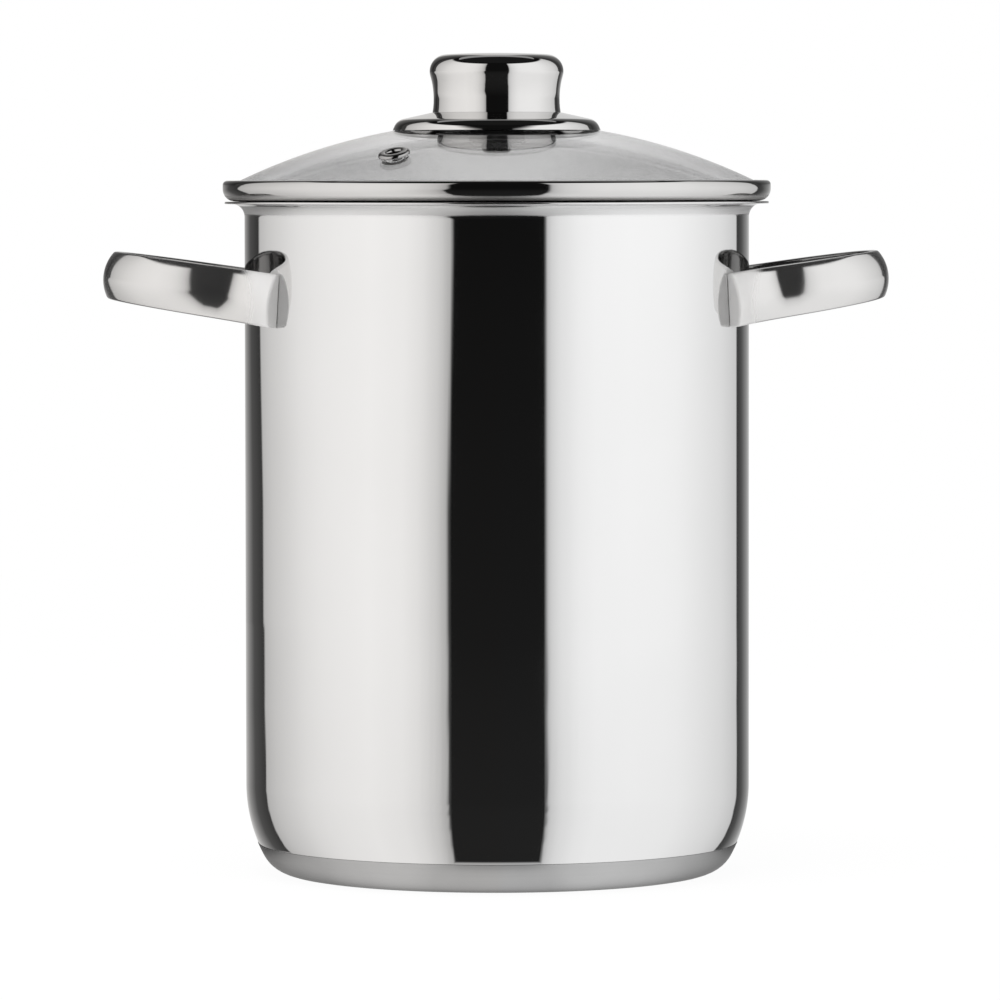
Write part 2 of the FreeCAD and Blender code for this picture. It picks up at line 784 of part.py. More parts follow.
def knob_side(inset):
    """One side of the knob's sheet, from its foot up to the middle of its top."""
    side_across = knob_waist + knob_hollow
    side_top = knob_tall - knob_crown
    brim = side_across - leg(knob_hollow, side_top - knob_waist_up)
    crown = (brim * brim + knob_crown * knob_crown) / (knob_crown * 2)
    crown_up = knob_tall - crown
    rise = knob_waist_up - crown_up
    apart = root(side_across * side_across + rise * rise)
    to_side = knob_hollow + knob_round
    to_crown = crown - knob_round
    along = (to_crown * to_crown - to_side * to_side + apart * apart) / (apart * 2)
    off = leg(to_crown, along)
    round_across = (side_across * along - rise * off) / apart
    round_up = crown_up + (rise * along + side_across * off) / apart
    side = knob_hollow + inset
    side_share = side / to_side
    top_across = side_across + (round_across - side_across) * side_share
    top_up = knob_waist_up + (round_up - knob_waist_up) * side_share
    crown_share = (crown - inset) / to_crown
    brow_up = crown_up + (round_up - crown_up) * crown_share
    return [
        Corner(side_across - leg(side, knob_waist_up), ZERO, bend=side, side=RIGHT),
        Corner(top_across, top_up, bend=knob_round - inset),
        Corner(round_across * crown_share, brow_up, bend=crown - inset),
        Corner(ZERO, knob_tall - inset),
    ]


def make_knob():
    """The hollow steel knob, drawn in one piece with a narrow waist."""
    body = new_body("lid_knob")
    corners = knob_side(ZERO) + reversed_side(knob_side(knob_wall))
    revolve(body, outline(body, "XZ_Plane", "SheetSection", corners))
    place(body, up=knob_foot)


def make_knob_insert():
    """The moulded insert inside the knob: a cup with a ribbed boss for the screw."""
    body = new_body("knob_insert")
    outer = knob_waist - knob_wall - SEAT
    bore = screw_radius + screw_play / 2
    corners = [
        Corner(bore, ZERO),
        Corner(outer, ZERO),
        Corner(outer, knob_waist_up * 2),
        Corner(outer - insert_web, knob_waist_up * 2),
        Corner(outer - insert_web, insert_web),
        Corner(insert_boss, insert_web),
        Corner(insert_boss, insert_tall),
        Corner(bore, insert_tall),
    ]
    revolve(body, outline(body, "XZ_Plane", "CupSection", corners))
    half = insert_web / 2
    rib = outline(body, "XY_Plane", "RibPlan", [
        Corner(insert_boss - half, -half),
        Corner(outer - half, -half),
        Corner(outer - half, half),
        Corner(insert_boss - half, half),
    ])
    doc.recompute()
    one_rib = body.newObject("PartDesign::Pad", "Rib")
    one_rib.Profile = rib
    one_rib.Length = (knob_waist_up * 2).number
    one_rib.setExpression("Length", (knob_waist_up * 2).text)
    doc.recompute()
    ribs = body.newObject("PartDesign::PolarPattern", "Ribs")
    ribs.Originals = [one_rib]
    ribs.Axis = (rib, ["N_Axis"])
    ribs.Angle = CIRCLE
    ribs.Occurrences = int(insert_ribs.number)
    ribs.setExpression("Occurrences", insert_ribs.text)
    body.Tip = ribs
    place(body, up=knob_foot)


def make_rose():
    """The dished steel plate that spreads the knob's load on the glass."""
    body = new_body("knob_rose")
    edge_up = dome_up(glass_radius, rose_radius - rose_wall) - rose_top + SEAT
    bore = screw_radius + screw_play
    inner_round = rose_round - rose_wall
    corners = [
        Corner(bore, -rose_wall),
        Corner(rose_flat, -rose_wall),
        Corner(rose_shoulder - rose_wall, -rose_drop - rose_wall, soft=inner_round),
        Corner(rose_radius - rose_wall, edge_up),
        Corner(rose_radius, edge_up),
        Corner(rose_shoulder, -rose_drop, soft=rose_round),
        Corner(rose_flat, ZERO),
        Corner(bore, ZERO),
    ]
    revolve(body, outline(body, "XZ_Plane", "PlateSection", corners))
    place(body, up=rose_top)


def make_knob_gasket():
    """The rubber bush between the plate and the glass, with a collar in the hole of the glass."""
    body = new_body("knob_gasket")
    bore = screw_radius + screw_play
    collar = glass_hole - SEAT
    above = glass_radius + SEAT
    corners = [
        Corner(bore, dome_up(glass_radius - glass_wall, glass_hole) + SEAT),
        Corner(collar, dome_up(glass_radius - glass_wall, glass_hole) + SEAT),
        Corner(collar, dome_up(above, collar), bend=above, side=RIGHT),
        Corner(gasket_radius, dome_up(above, gasket_radius)),
        Corner(gasket_radius, rose_top - rose_wall - SEAT),
        Corner(bore, rose_top - rose_wall - SEAT),
    ]
    revolve(body, outline(body, "XZ_Plane", "BushSection", corners))
    place(body)


def make_glass_seal():
    """The rubber seal under the glass, dished to the inside of the dome."""
    body = new_body("glass_seal")
    bore = screw_radius + screw_play
    under = glass_radius - glass_wall - SEAT
    corners = [
        Corner(bore, seal_under),
        Corner(gasket_radius, seal_under),
        Corner(gasket_radius, dome_up(under, gasket_radius), bend=under),
        Corner(bore, dome_up(under, bore)),
    ]
    revolve(body, outline(body, "XZ_Plane", "SealSection", corners))
    place(body)


def make_washer():
    """The steel washer between the screw's head and the seal."""
    body = new_body("screw_washer")
    bore = screw_radius + screw_play
    corners = [
        Corner(bore, -washer_thick),
        Corner(washer_radius, -washer_thick),
        Corner(washer_radius, ZERO),
        Corner(bore, ZERO),
    ]
    revolve(body, outline(body, "XZ_Plane", "WasherSection", corners))
    place(body, up=seal_under - WELD)


def make_screw():
    """Pan-head screw with a crossed recess, up through the lid into the knob's insert."""
    body = new_body("knob_screw")
    head_round = screw_head_tall / 2
    corners = [
        Corner(ZERO, -screw_head_tall),
        Corner(screw_head, -screw_head_tall, soft=head_round),
        Corner(screw_head, ZERO),
        Corner(screw_radius, ZERO),
        Corner(screw_radius, screw_long),
        Corner(ZERO, screw_long),
    ]
    form = revolve(body, outline(body, "XZ_Plane", "ScrewSection", corners))
    doc.recompute()
    slot_half = screw_head * 0.55
    slot_wide = screw_head * 0.1
    slot = outline(body, "XY_Plane", "SlotPlan", [
        Corner(-slot_half, -slot_wide),
        Corner(slot_half, -slot_wide),
        Corner(slot_half, slot_wide),
        Corner(-slot_half, slot_wide),
    ])
    slot.AttachmentOffset = FreeCAD.Placement(FreeCAD.Vector(0, 0, -screw_head_tall.number), NO_TURN)
    slot.setExpression("AttachmentOffset.Base.z", (-screw_head_tall).text)
    cut = body.newObject("PartDesign::Pocket", "Slot")
    cut.Profile = slot
    cut.Length = (screw_head_tall / 2).number
    cut.setExpression("Length", (screw_head_tall / 2).text)
    cut.Reversed = True
    check_cut(form, cut)
    cross = body.newObject("PartDesign::PolarPattern", "Cross")
    cross.Originals = [cut]
    cross.Axis = (slot, ["N_Axis"])
    cross.Angle = CIRCLE / 2
    cross.Occurrences = 2
    body.Tip = cross
    place(body, up=screw_under)


# Basket


ring_radius = pot_radius - pot_wall - ring_gap - ring_thick / 2
stave_circle = ring_radius - (ring_thick + stave_thick) / 2 - WELD
hoop_circle = stave_circle + (stave_thick + hoop_thick) / 2 + WELD
floor_circle = stave_circle - (stave_thick + hoop_thick) / 2 - WELD
grid_up = floor_hoop_up + (hoop_thick + stave_thick) / 2 + WELD
stave_step = CIRCLE / stave_count.number
eye_turn = as_size((round(27 / stave_step - 0.5) + 0.5) * stave_step)
eye_out = ring_thick / 2 + hinge_play + eye_wall
eye_along = stave_circle * sine(eye_turn)
eye_across = leg(ring_radius - ring_thick / 2 - WELD, eye_along + eye_long / 2) - eye_out


def make_staves():
    """The upright wires, inside the hoops."""
    length = ring_up - stave_foot + ring_thick / 4
    for index in range(int(stave_count.number)):
        wire = straight_wire(f"basket_upright_{index + 1:02d}", stave_thick, length)
        turn = as_size(index * stave_step)
        place(wire, across=stave_circle * cosine(turn), along=stave_circle * sine(turn), up=stave_foot)


def make_floor():
    """Floor wires on their hoop, and two cross wires under them."""
    reach = floor_circle + hoop_thick / 2
    grid_step = (floor_circle - grid_edge) * 2 / (grid_count - 1)
    for index in range(int(grid_count.number)):
        offset = grid_step * (index - (grid_count.number - 1) / 2)
        half = leg(reach, offset)
        wire = straight_wire(f"basket_floor_wire_{index + 1}", stave_thick, half * 2)
        place(wire, across=-half, along=offset, up=grid_up, turn=turned(Y_AXIS, 90))
    inside = floor_circle - hoop_thick / 2 - WELD
    for name, offset in (("left", -brace_out), ("right", brace_out)):
        half = leg(inside, brace_out + stave_thick / 2)
        wire = straight_wire(f"basket_cross_wire_{name}", stave_thick, half * 2)
        low = grid_up - stave_thick - WELD
        place(wire, across=offset, along=-half, up=low, turn=turned(X_AXIS, -90))


def bent_wire(label, thickness, corners):
    """A wire bent in its own YZ plane: half of it is swept from the middle, and the other half mirrored."""
    body = new_body(label)
    path = new_sketch(body, "YZ_Plane", "HalfPath")
    draw(path, corners, closed=False)
    section = circle(body, "XZ_Plane", "WireSection", thickness / 2, up=corners[0].up)
    half = sweep(body, section, path)
    mirrored(body, half, "XZ_Plane")
    return body


def make_feet():
    """Three bent wires under the floor hoop. The basket stands on them inside the pot."""
    stand = floor_up + pot_wall + SEAT + stave_thick / 2
    top = floor_hoop_up - hoop_thick / 2 - WELD
    out = leg(floor_circle, foot_half)
    for index in range(int(foot_count.number)):
        turn = index * CIRCLE / foot_count.number
        body = bent_wire(f"basket_foot_{index + 1}", stave_thick, [
            Corner(ZERO, stand),
            Corner(foot_half, stand, soft=foot_bend),
            Corner(foot_half, top),
        ])
        angle = as_size(turn)
        place(body, across=out * cosine(angle), along=out * sine(angle), turn=turned(Z_AXIS, turn))


def make_eye(label, side, end):
    """A short tube on the top wire, in which one end of a swing handle turns."""
    body = new_body(label)
    section = new_sketch(body, "XZ_Plane", "TubeSection")
    for radius in (eye_out, ring_thick / 2 + hinge_play):
        geometry = section.addGeometry(Part.Circle(flat(0, 0), Z_AXIS, radius.number), False)
        pin_point(section, geometry, 3, ZERO, ZERO)
        constrain(section, "Radius", geometry, value=radius)
    tube = body.newObject("PartDesign::Pad", "Tube")
    tube.Profile = section
    tube.SideType = "Symmetric"
    tube.Length = eye_long.number
    tube.setExpression("Length", eye_long.text)
    place(body, across=eye_across * side, along=eye_along * end, up=ring_up)


def make_swing_handle(label, side):
    """A wire loop that hangs inside the basket and folds up to lift it out."""
    neck = eye_along - eye_long / 2 - SEAT * 10 - bail_neck
    reach = eye_along + eye_long / 2 + bail_end
    body = bent_wire(label, ring_thick, [
        Corner(ZERO, -bail_drop),
        Corner(neck, -bail_drop, soft=bail_bend),
        Corner(neck, ZERO, soft=bail_neck),
        Corner(reach, ZERO),
    ])
    place(body, across=eye_across * side, up=ring_up)


def make_basket():
    """The lift-out wire basket."""
    hoop("basket_top_ring", ring_radius, ring_thick, ring_up)
    hoop("basket_floor_ring", floor_circle, hoop_thick, floor_hoop_up)
    for number, share in ((1, 1), (2, 2)):
        rise = (ring_up - floor_hoop_up) * share / 3
        hoop(f"basket_hoop_{number}", hoop_circle, hoop_thick, floor_hoop_up + rise)
    make_staves()
    make_floor()
    make_feet()
    for name, side in (("left", -1), ("right", 1)):
        make_swing_handle(f"basket_handle_{name}", side)
        make_eye(f"basket_eye_{name}_front", side, -1)
        make_eye(f"basket_eye_{name}_back", side, 1)


make_pot()
make_base_core()
make_base_cap()
make_side_handle("side_handle_right", 0)
make_side_handle("side_handle_left", CIRCLE / 2)
make_lid_glass()
make_lid_band()
make_vent_eyelet()
make_knob()
make_knob_insert()
make_rose()
make_knob_gasket()
make_glass_seal()
make_washer()
make_screw()
make_basket()

# Every object has to be sound before anything is written.
doc.recompute()
for item in doc.Objects:
    if "Invalid" in item.State or "Error" in item.State:
        raise RuntimeError(f"{item.Label} failed: {item.State}")
for piece in pieces:
    if piece.Shape.isNull() or not piece.Shape.isValid():
        raise RuntimeError(f"{piece.Label} has no valid shape")

os.makedirs("parts", exist_ok=True)
for piece in pieces:
    piece.Shape.exportStep(os.path.join("parts", f"{piece.Label}.step"))
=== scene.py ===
import json
import math

import bmesh
import bpy
from mathutils import Matrix, Quaternion, Vector


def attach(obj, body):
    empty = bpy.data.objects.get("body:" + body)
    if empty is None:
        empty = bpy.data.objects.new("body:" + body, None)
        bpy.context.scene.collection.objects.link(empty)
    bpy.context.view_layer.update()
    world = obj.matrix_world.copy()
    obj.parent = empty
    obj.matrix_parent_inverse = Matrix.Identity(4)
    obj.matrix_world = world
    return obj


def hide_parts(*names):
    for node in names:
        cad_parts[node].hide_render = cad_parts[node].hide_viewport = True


# The looks of a tall polished steel pot with a glass lid, and the studio round it. Metres, +Z up.

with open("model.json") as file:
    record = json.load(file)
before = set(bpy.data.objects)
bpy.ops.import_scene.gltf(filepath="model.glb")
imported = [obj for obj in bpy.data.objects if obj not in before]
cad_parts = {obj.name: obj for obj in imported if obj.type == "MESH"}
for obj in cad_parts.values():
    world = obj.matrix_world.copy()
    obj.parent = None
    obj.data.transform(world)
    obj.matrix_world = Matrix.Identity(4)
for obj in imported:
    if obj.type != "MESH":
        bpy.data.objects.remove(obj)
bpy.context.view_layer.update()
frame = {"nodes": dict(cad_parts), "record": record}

# Camera: where the photograph was taken from
CAMERA_TURN = math.radians(3.2)
CAMERA_AWAY = 2.15
CAMERA_UP = 0.2226
CAMERA_AIM = Vector((0.0009, 0.0, 0.1186))
CAMERA_LENS = 243.4
CAMERA_ROLL = math.radians(-0.08)
CAMERA_CLIP = (0.05, 50.0)

# Studio
FLOOR_RADIUS = 9.0
FLOOR_NEAR = 0.35
FLOOR_FAR = 1.6
FLOOR_GLOW = 0.95
FLOOR_TONE = 0.94
FLOOR_STEP = 6
DAYLIGHT = 0.82
LAMP_WATTS = 26.0
LAMP_WIDE = 1.6
LAMP_PLACE = (-0.3, -0.5, 2.0)
LAMP_AIM = Vector((0, 0, 0.1))
TENT_AWAY = 1.2
TENT_TALL = 1.9
TENT_OVER = 1.2
CEILING_STEP = 10
CARD_START = -0.0121
CARD_UP = 0.0004
SOFTBOX = 1.16
WARM_STEEL = (1.0, 0.99, 0.98)
WARM_CARD = (1.0, 0.986, 0.972)

# Sizes of the turned pieces, in millimetres, as in the part's source
MM = 0.001
WELD = 0.04
SEAT = 0.05
POT_RADIUS = 80.1
POT_WALL = 0.7
RIM_TOP = 213.6
RIM_REACH = 6.3
RIM_BEND = 4.0
RIM_ROUND_SHARE = 0.9
SHOULDER_UP = 28.5
SHOULDER_BEND = 48.0
FLOOR_BEND = 7.0
FLOOR_UP = 5.5
CAP_WALL = 0.45
CAP_PROUD = 0.14
CAP_BEND = 11.0
HANDLE_DROP = 29.6
HANDLE_TILT = math.radians(8.75)
HANDLE_HALF_SPAN = 33.0
STRAP = {"tall": 15.0, "thick": 5.0, "edge": 2.6}
FOOT = {"tall": 16.9, "thick": 6.4, "edge": 4.4}
STRAP_BEVEL = STRAP["edge"] / 3
FLARE_RADIUS = 20.0
FLARE_ANGLE = math.radians(45.0)
LEG_RUN = 4.1
FOOT_OFF = 4.2
FOOT_RUN = 4.2
HANDLE_MIDDLE = 0.094
STRAP_ROUND = 1.2
STRAP_INNER_ROUND = 0.85
FOOT_ROUND = 1.0
GLASS_WALL = 4.0
GLASS_RISE = 19.15
GLASS_EDGE = POT_RADIUS + 5.7
GLASS_FLAT = 3.13
GLASS_LIFT = 2.15
GLASS_HOLE = 4.0
GLASS_ROUND = 1.2
BAND_WALL = 0.5
BAND_GAP = 0.7
BAND_CURL = 3.5
BAND_BEND = 3.7
BAND_TOP_BEND = 1.2
BAND_TIGHT_BEND = BAND_WALL * 1.6
SKIRT_GAP = 0.65
SKIRT_DEEP = 4.95
SKIRT_FOLD = 1.2
SKIRT_FOLD_BEND = SKIRT_FOLD * 0.45
LEDGE_REACH = 6.6
VENT_OUT = 62.5
VENT_TURN = math.radians(236.3)
VENT_BORE = 2.2
VENT_SLEEVE = 2.9
VENT_FLANGE = 5.0
VENT_TAIL = 4.2
VENT_CROWN = 1.3
VENT_CROWN_ROUND = VENT_CROWN * 0.8
KNOB_WAIST = 20.0
KNOB_WAIST_UP = 4.3
KNOB_HOLLOW = 26.0
KNOB_TALL = 18.85
KNOB_CROWN = 1.05
KNOB_ROUND = 5.3
KNOB_WALL = 0.8
ROSE_RADIUS = 33.05
ROSE_SHOULDER = 31.7
ROSE_FLAT = 20.6
ROSE_DROP = 2.45
ROSE_ROUND = 4.0
ROSE_WALL = 0.7
ROSE_UP = 2.85
ROSE_BORE = 2.6

# How finely they are turned
TURNS = 240
ARC_TURN = math.radians(7.5)
ARC_RUN = 1.5
EDGE_RUN = 0.6
HOLE_CELLS = 4
CROWN_STEPS = 24
ROUND_STEPS = 6
SIDE_STEPS = 10
CLOSE_STEPS = 24
BEND_TURN = math.radians(3.0)
FOOT_STEPS = 8
END_STEPS = 6
LEFT = 1
RIGHT = -1
SHARP = math.radians(32)


def add_node(tree, kind, inputs=None, **settings):
    """One node with its settings. Each input is a value, or an output to link."""
    node = tree.nodes.new(kind)
    for name, value in settings.items():
        setattr(node, name, value)
    for key, value in (inputs or {}).items():
        if isinstance(value, bpy.types.NodeSocket):
            tree.links.new(value, node.inputs[key])
        else:
            node.inputs[key].default_value = value
    return node


def calc(tree, operation, *values):
    """The result of one sum."""
    node = add_node(tree, "ShaderNodeMath", dict(enumerate(values)), operation=operation)
    return node.outputs[0]


def times(tree, *values):
    """The product of some values."""
    product, *others = values
    for value in others:
        product = calc(tree, "MULTIPLY", product, value)
    return product


def blend_values(tree, share, first, second):
    """first at share 0, second at share 1."""
    node = add_node(tree, "ShaderNodeMix", {"Factor": share, "A": first, "B": second})
    return node.outputs["Result"]


def rescale(tree, value, low, high, to_low, to_high, smooth=False):
    """The value, carried from one range to another and held at its ends."""
    node = add_node(tree, "ShaderNodeMapRange", {
        "Value": value, "From Min": low, "From Max": high, "To Min": to_low, "To Max": to_high,
    }, interpolation_type="SMOOTHSTEP" if smooth else "LINEAR")
    return node.outputs["Result"]


def between(tree, value, low, low_full, high_full, high):
    """One from low_full to high_full, and nought below low and above high."""
    rising = rescale(tree, value, low, low_full, 0.0, 1.0)
    return times(tree, rising, rescale(tree, value, high_full, high, 1.0, 0.0))


def ramp(tree, value, stops):
    """A grey that follows the value through a few stops."""
    node = add_node(tree, "ShaderNodeValToRGB", {"Fac": value})
    elements = node.color_ramp.elements
    while len(elements) < len(stops):
        elements.new(1.0)
    for element, (spot, level) in zip(elements, stops):
        element.position = spot
    for element, (spot, level) in zip(elements, stops):
        element.color = grey(level)
    return node.outputs["Color"]


def place_of(tree):
    """Coordinates on the object, in metres."""
    return add_node(tree, "ShaderNodeTexCoord").outputs["Object"]


def axes_of(tree, vector):
    """The three parts of a vector."""
    node = add_node(tree, "ShaderNodeSeparateXYZ", {"Vector": vector})
    return node.outputs["X"], node.outputs["Y"], node.outputs["Z"]


def normal_of(tree):
    """The three parts of the way that the surface faces."""
    return axes_of(tree, add_node(tree, "ShaderNodeNewGeometry").outputs["Normal"])


def vector_of(tree, x, y, z):
    """A vector of three values."""
    return add_node(tree, "ShaderNodeCombineXYZ", {"X": x, "Y": y, "Z": z}).outputs["Vector"]


def warm(tree, level):
    """The faintly warm grey of steel at a level."""
    node = add_node(tree, "ShaderNodeVectorMath", {0: WARM_STEEL, "Scale": level}, operation="SCALE")
    return node.outputs["Vector"]


def away_from_axis(tree, x, y):
    """Distance from the pot's axis."""
    return calc(tree, "SQRT", calc(tree, "ADD", times(tree, x, x), times(tree, y, y)))


def noise(tree, vector, scale, detail):
    """Smooth noise. The scale is in patches to the metre."""
    node = add_node(tree, "ShaderNodeTexNoise", {"Vector": vector, "Scale": scale, "Detail": detail})
    return node.outputs["Fac"]


def bump(tree, height, deep):
    """A fine relief, so many metres deep."""
    node = add_node(tree, "ShaderNodeBump", {"Height": height, "Strength": 1.0, "Distance": deep})
    return node.outputs["Normal"]


def new_material(name, **constants):
    """A material whose shader has some sockets set."""
    material = bpy.data.materials.new(name)
    material.use_nodes = True
    tree = material.node_tree
    shader = tree.nodes["Principled BSDF"]
    for key, value in constants.items():
        shader.inputs[key.replace("_", " ")].default_value = value
    return material, tree, shader


def grey(level):
    """A neutral colour."""
    return (level, level, level, 1.0)


# Materials

# Which part of a noise pattern's range is spread over a roughness, and over a tone
ROUGH_SPREAD = (0.3, 0.7)
TONE_SPREAD = (0.2, 0.8)
# The pot's sheet: how far its inside faces in and its floor up, how far the floor goes, where the rim starts
FACES_IN = -0.2
FACES_UP = 0.3
FLOOR_REACH = 0.078
RIM_ZONE = 0.2
PRESS_DEEP = 0.00001
# How far down the rim's underside and the band's curls face
RIM_UNDERSIDE = (-0.9, -0.75, -0.25, -0.08)
CURL_UNDERSIDE = (-0.95, -0.85, -0.6, -0.42)
# Side handles: where the painted shade inside the loop begins, and how far from the axis the dull feet end,
# made nearly matt so that their pale grey paints in the light they reflect
LOOP_PAINTED_SHADE = (-0.004, -0.001)
FOOT_PAINTED_LIGHT_ZONE = (0.0845, 0.0885)
# Tones of the glass, from straight on to edge on
GLASS_TONES = ((0.66, 0.79), (0.92, 0.69), (0.965, 0.72), (1.0, 0.88))


def rough_by(tree, pattern, low, high):
    """A roughness that follows a noise pattern."""
    return rescale(tree, pattern, *ROUGH_SPREAD, low, high)


def tone_by(tree, pattern, low, high):
    """A tone that follows a noise pattern."""
    return rescale(tree, pattern, *TONE_SPREAD, low, high)


def dress(tree, shader, rough, colour, normal):
    """Link what a surface's roughness, colour and relief are made of."""
    for key, output in (("Roughness", rough), ("Base Color", colour), ("Normal", normal)):
        tree.links.new(output, shader.inputs[key])


def round_the_axis(tree, place, across, along):
    """Coordinates that run round the pot and up it, each with its own stretch."""
    x, y, z = axes_of(tree, place)
    turn = calc(tree, "ARCTAN2", y, x)
    return vector_of(tree, times(tree, turn, across), times(tree, z, along), 0.0)


def wall_steel():
    """Mirror polish outside, with the faint upright lines of the drawing press, and satin inside."""
    material, tree, shader = new_material("polished_steel", Metallic=1.0)
    place = place_of(tree)
    x, y, z = axes_of(tree, place)
    away = away_from_axis(tree, x, y)
    nx, ny, nz = normal_of(tree)
    outward = calc(tree, "DIVIDE", calc(tree, "ADD", times(tree, nx, x), times(tree, ny, y)), away)
    facing_in = calc(tree, "LESS_THAN", outward, FACES_IN)
    facing_up = calc(tree, "GREATER_THAN", nz, FACES_UP)
    on_floor = times(tree, facing_up, calc(tree, "LESS_THAN", away, FLOOR_REACH))
    inside = calc(tree, "MAXIMUM", facing_in, on_floor)
    under_rim = times(tree, between(tree, nz, *RIM_UNDERSIDE), calc(tree, "GREATER_THAN", z, RIM_ZONE))
    cloud = noise(tree, place, 24.0, 3.0)
    polish = rough_by(tree, cloud, 0.03, 0.055)
    brushed = rough_by(tree, noise(tree, round_the_axis(tree, place, 3.0, 900.0), 1.0, 3.0), 0.2, 0.32)
    rough = blend_values(tree, under_rim, blend_values(tree, inside, polish, brushed), 0.5)
    tone = blend_values(tree, inside, tone_by(tree, cloud, 0.745, 0.765), 0.66)
    streaks = noise(tree, round_the_axis(tree, place, 26.0, 1.4), 1.0, 2.0)
    swirls = noise(tree, round_the_axis(tree, place, 2.0, 1400.0), 1.0, 2.0)
    dress(tree, shader, rough, tone, bump(tree, blend_values(tree, inside, streaks, swirls), PRESS_DEEP))
    return material


def sheet_steel(name, tone, low, high, under=None):
    """Polished sheet, with polish that comes and goes a little. Curls that face down may be rougher."""
    material, tree, shader = new_material(name, Metallic=1.0)
    place = place_of(tree)
    cloud = noise(tree, place, 70.0, 3.0)
    rough = rough_by(tree, cloud, low, high)
    if under:
        rough = blend_values(tree, between(tree, normal_of(tree)[2], *CURL_UNDERSIDE), rough, under)
    colour = warm(tree, tone_by(tree, cloud, tone - 0.01, tone + 0.01))
    lines = noise(tree, round_the_axis(tree, place, 4.0, 1200.0), 1.0, 2.0)
    dress(tree, shader, rough, colour, bump(tree, lines, 0.0000006))
    return material


def cast_steel():
    """Cast steel polished by hand: a little wavy outside, with painted shade as a much darker tone inside the
    loop, dull and nearly matt at the welded feet, where the pale grey is a painted reflection of light.
    """
    material, tree, shader = new_material("cast_steel")
    place = place_of(tree)
    x, y = axes_of(tree, place)[:2]
    nx, ny = normal_of(tree)[:2]
    across = calc(tree, "SUBTRACT", calc(tree, "ABSOLUTE", x), HANDLE_MIDDLE)
    facing = calc(tree, "ADD", times(tree, nx, calc(tree, "SIGN", x), across), times(tree, ny, y))
    # Painted shade: inside the loop the tone drops to a dark grey, standing in for the shade and dark
    # reflections there
    inside = rescale(tree, facing, *LOOP_PAINTED_SHADE, 1.0, 0.0)
    foot_painted_light = rescale(tree, away_from_axis(tree, x, y), *FOOT_PAINTED_LIGHT_ZONE, 1.0, 0.0, smooth=True)
    waves = noise(tree, place, 60.0, 1.0)
    polish = rough_by(tree, noise(tree, place, 150.0, 2.0), 0.09, 0.14)
    tone = blend_values(tree, inside, tone_by(tree, waves, 0.655, 0.68), 0.28)
    # Painted reflection: the feet are made nearly matt, so that their pale grey stands in for the light their
    # polished ends reflect; they are also rougher
    tree.links.new(blend_values(tree, foot_painted_light, 0.965, 0.15), shader.inputs["Metallic"])
    rough = blend_values(tree, foot_painted_light, polish, 0.42)
    dress(tree, shader, rough, warm(tree, tone), bump(tree, waves, 0.0001))
    return material


def satin_steel():
    """Satin steel with fine lines turned round the axis, and a dark edge tint that paints shade onto it
    towards its outline.
    """
    # Painted shade: the grey specular tint darkens the steel towards its outline, where it is seen at a
    # grazing angle
    material, tree, shader = new_material("satin_steel", Metallic=1.0, Specular_Tint=grey(0.25))
    place = place_of(tree)
    x, y, z = axes_of(tree, place)
    rings = noise(tree, vector_of(tree, away_from_axis(tree, x, y), z, 0.0), 2600.0, 3.0)
    tone = tone_by(tree, noise(tree, place, 90.0, 2.0), 0.45, 0.48)
    dress(tree, shader, rough_by(tree, rings, 0.34, 0.42), tone, bump(tree, rings, 0.000008))
    return material


# Plain materials: noise of patches and of grain, roughness, tones, depth of the grain, other sockets
METAL = {"Metallic": 1.0}
MILKY = {"Subsurface_Weight": 0.5, "Transmission_Weight": 0.25, "Subsurface_Radius": (0.002, 0.002, 0.002)}
PLAIN = {
    "basket_wire": ((120.0, 2.0), (1500.0, 2.0), (0.14, 0.24), (0.66, 0.72), 0.000002, METAL),
    "aluminium_core": ((1200.0, 2.0), (1200.0, 2.0), (0.32, 0.48), (0.73, 0.77), 0.000003, METAL),
    "screw_steel": ((1200.0, 2.0), (1200.0, 2.0), (0.24, 0.36), (0.28, 0.32), 0.000003, METAL),
    "seal_rubber": ((700.0, 2.0), (700.0, 2.0), (0.4, 0.5), (0.72, 0.76), 0.00001, MILKY),
    "insert_plastic": ((2500.0, 3.0), (2500.0, 3.0), (0.45, 0.6), (0.02, 0.03), 0.00002, {}),
}


def plain_material(name, patches, grain, rough, tones, deep, constants):
    """Patches of roughness and tone, and a relief of finer grain."""
    material, tree, shader = new_material(name, **constants)
    place = place_of(tree)
    cloud = noise(tree, place, *patches)
    relief = bump(tree, noise(tree, place, *grain), deep)
    dress(tree, shader, rough_by(tree, cloud, *rough), tone_by(tree, cloud, *tones), relief)
    return material


def clear_glass():
    """Clear tempered glass, faintly grey, and never quite flat."""
    material, tree, shader = new_material("lid_glass", IOR=1.5, Transmission_Weight=1.0)
    place = place_of(tree)
    rough = rough_by(tree, noise(tree, place, 40.0, 2.0), 0.0, 0.006)
    grazing = add_node(tree, "ShaderNodeLayerWeight", {"Blend": 0.5}).outputs["Facing"]
    clear = tone_by(tree, noise(tree, place, 12.0, 1.0), 0.995, 1.005)
    colour = times(tree, ramp(tree, grazing, GLASS_TONES), clear)
    dress(tree, shader, rough, colour, bump(tree, noise(tree, place, 22.0, 1.0), 0.000003))
    return material


MATERIALS = {
    "polished_steel": wall_steel(),
    "cast_steel": cast_steel(),
    "knob_steel": sheet_steel("knob_steel", 0.68, 0.03, 0.05),
    "eyelet_steel": sheet_steel("eyelet_steel", 0.4, 0.08, 0.12),
    "satin_steel": satin_steel(),
    "lid_glass": clear_glass(),
    **{name: plain_material(name, *looks) for name, looks in PLAIN.items()},
}
band_steel = sheet_steel("band_steel", 0.62, 0.03, 0.05, under=0.4)

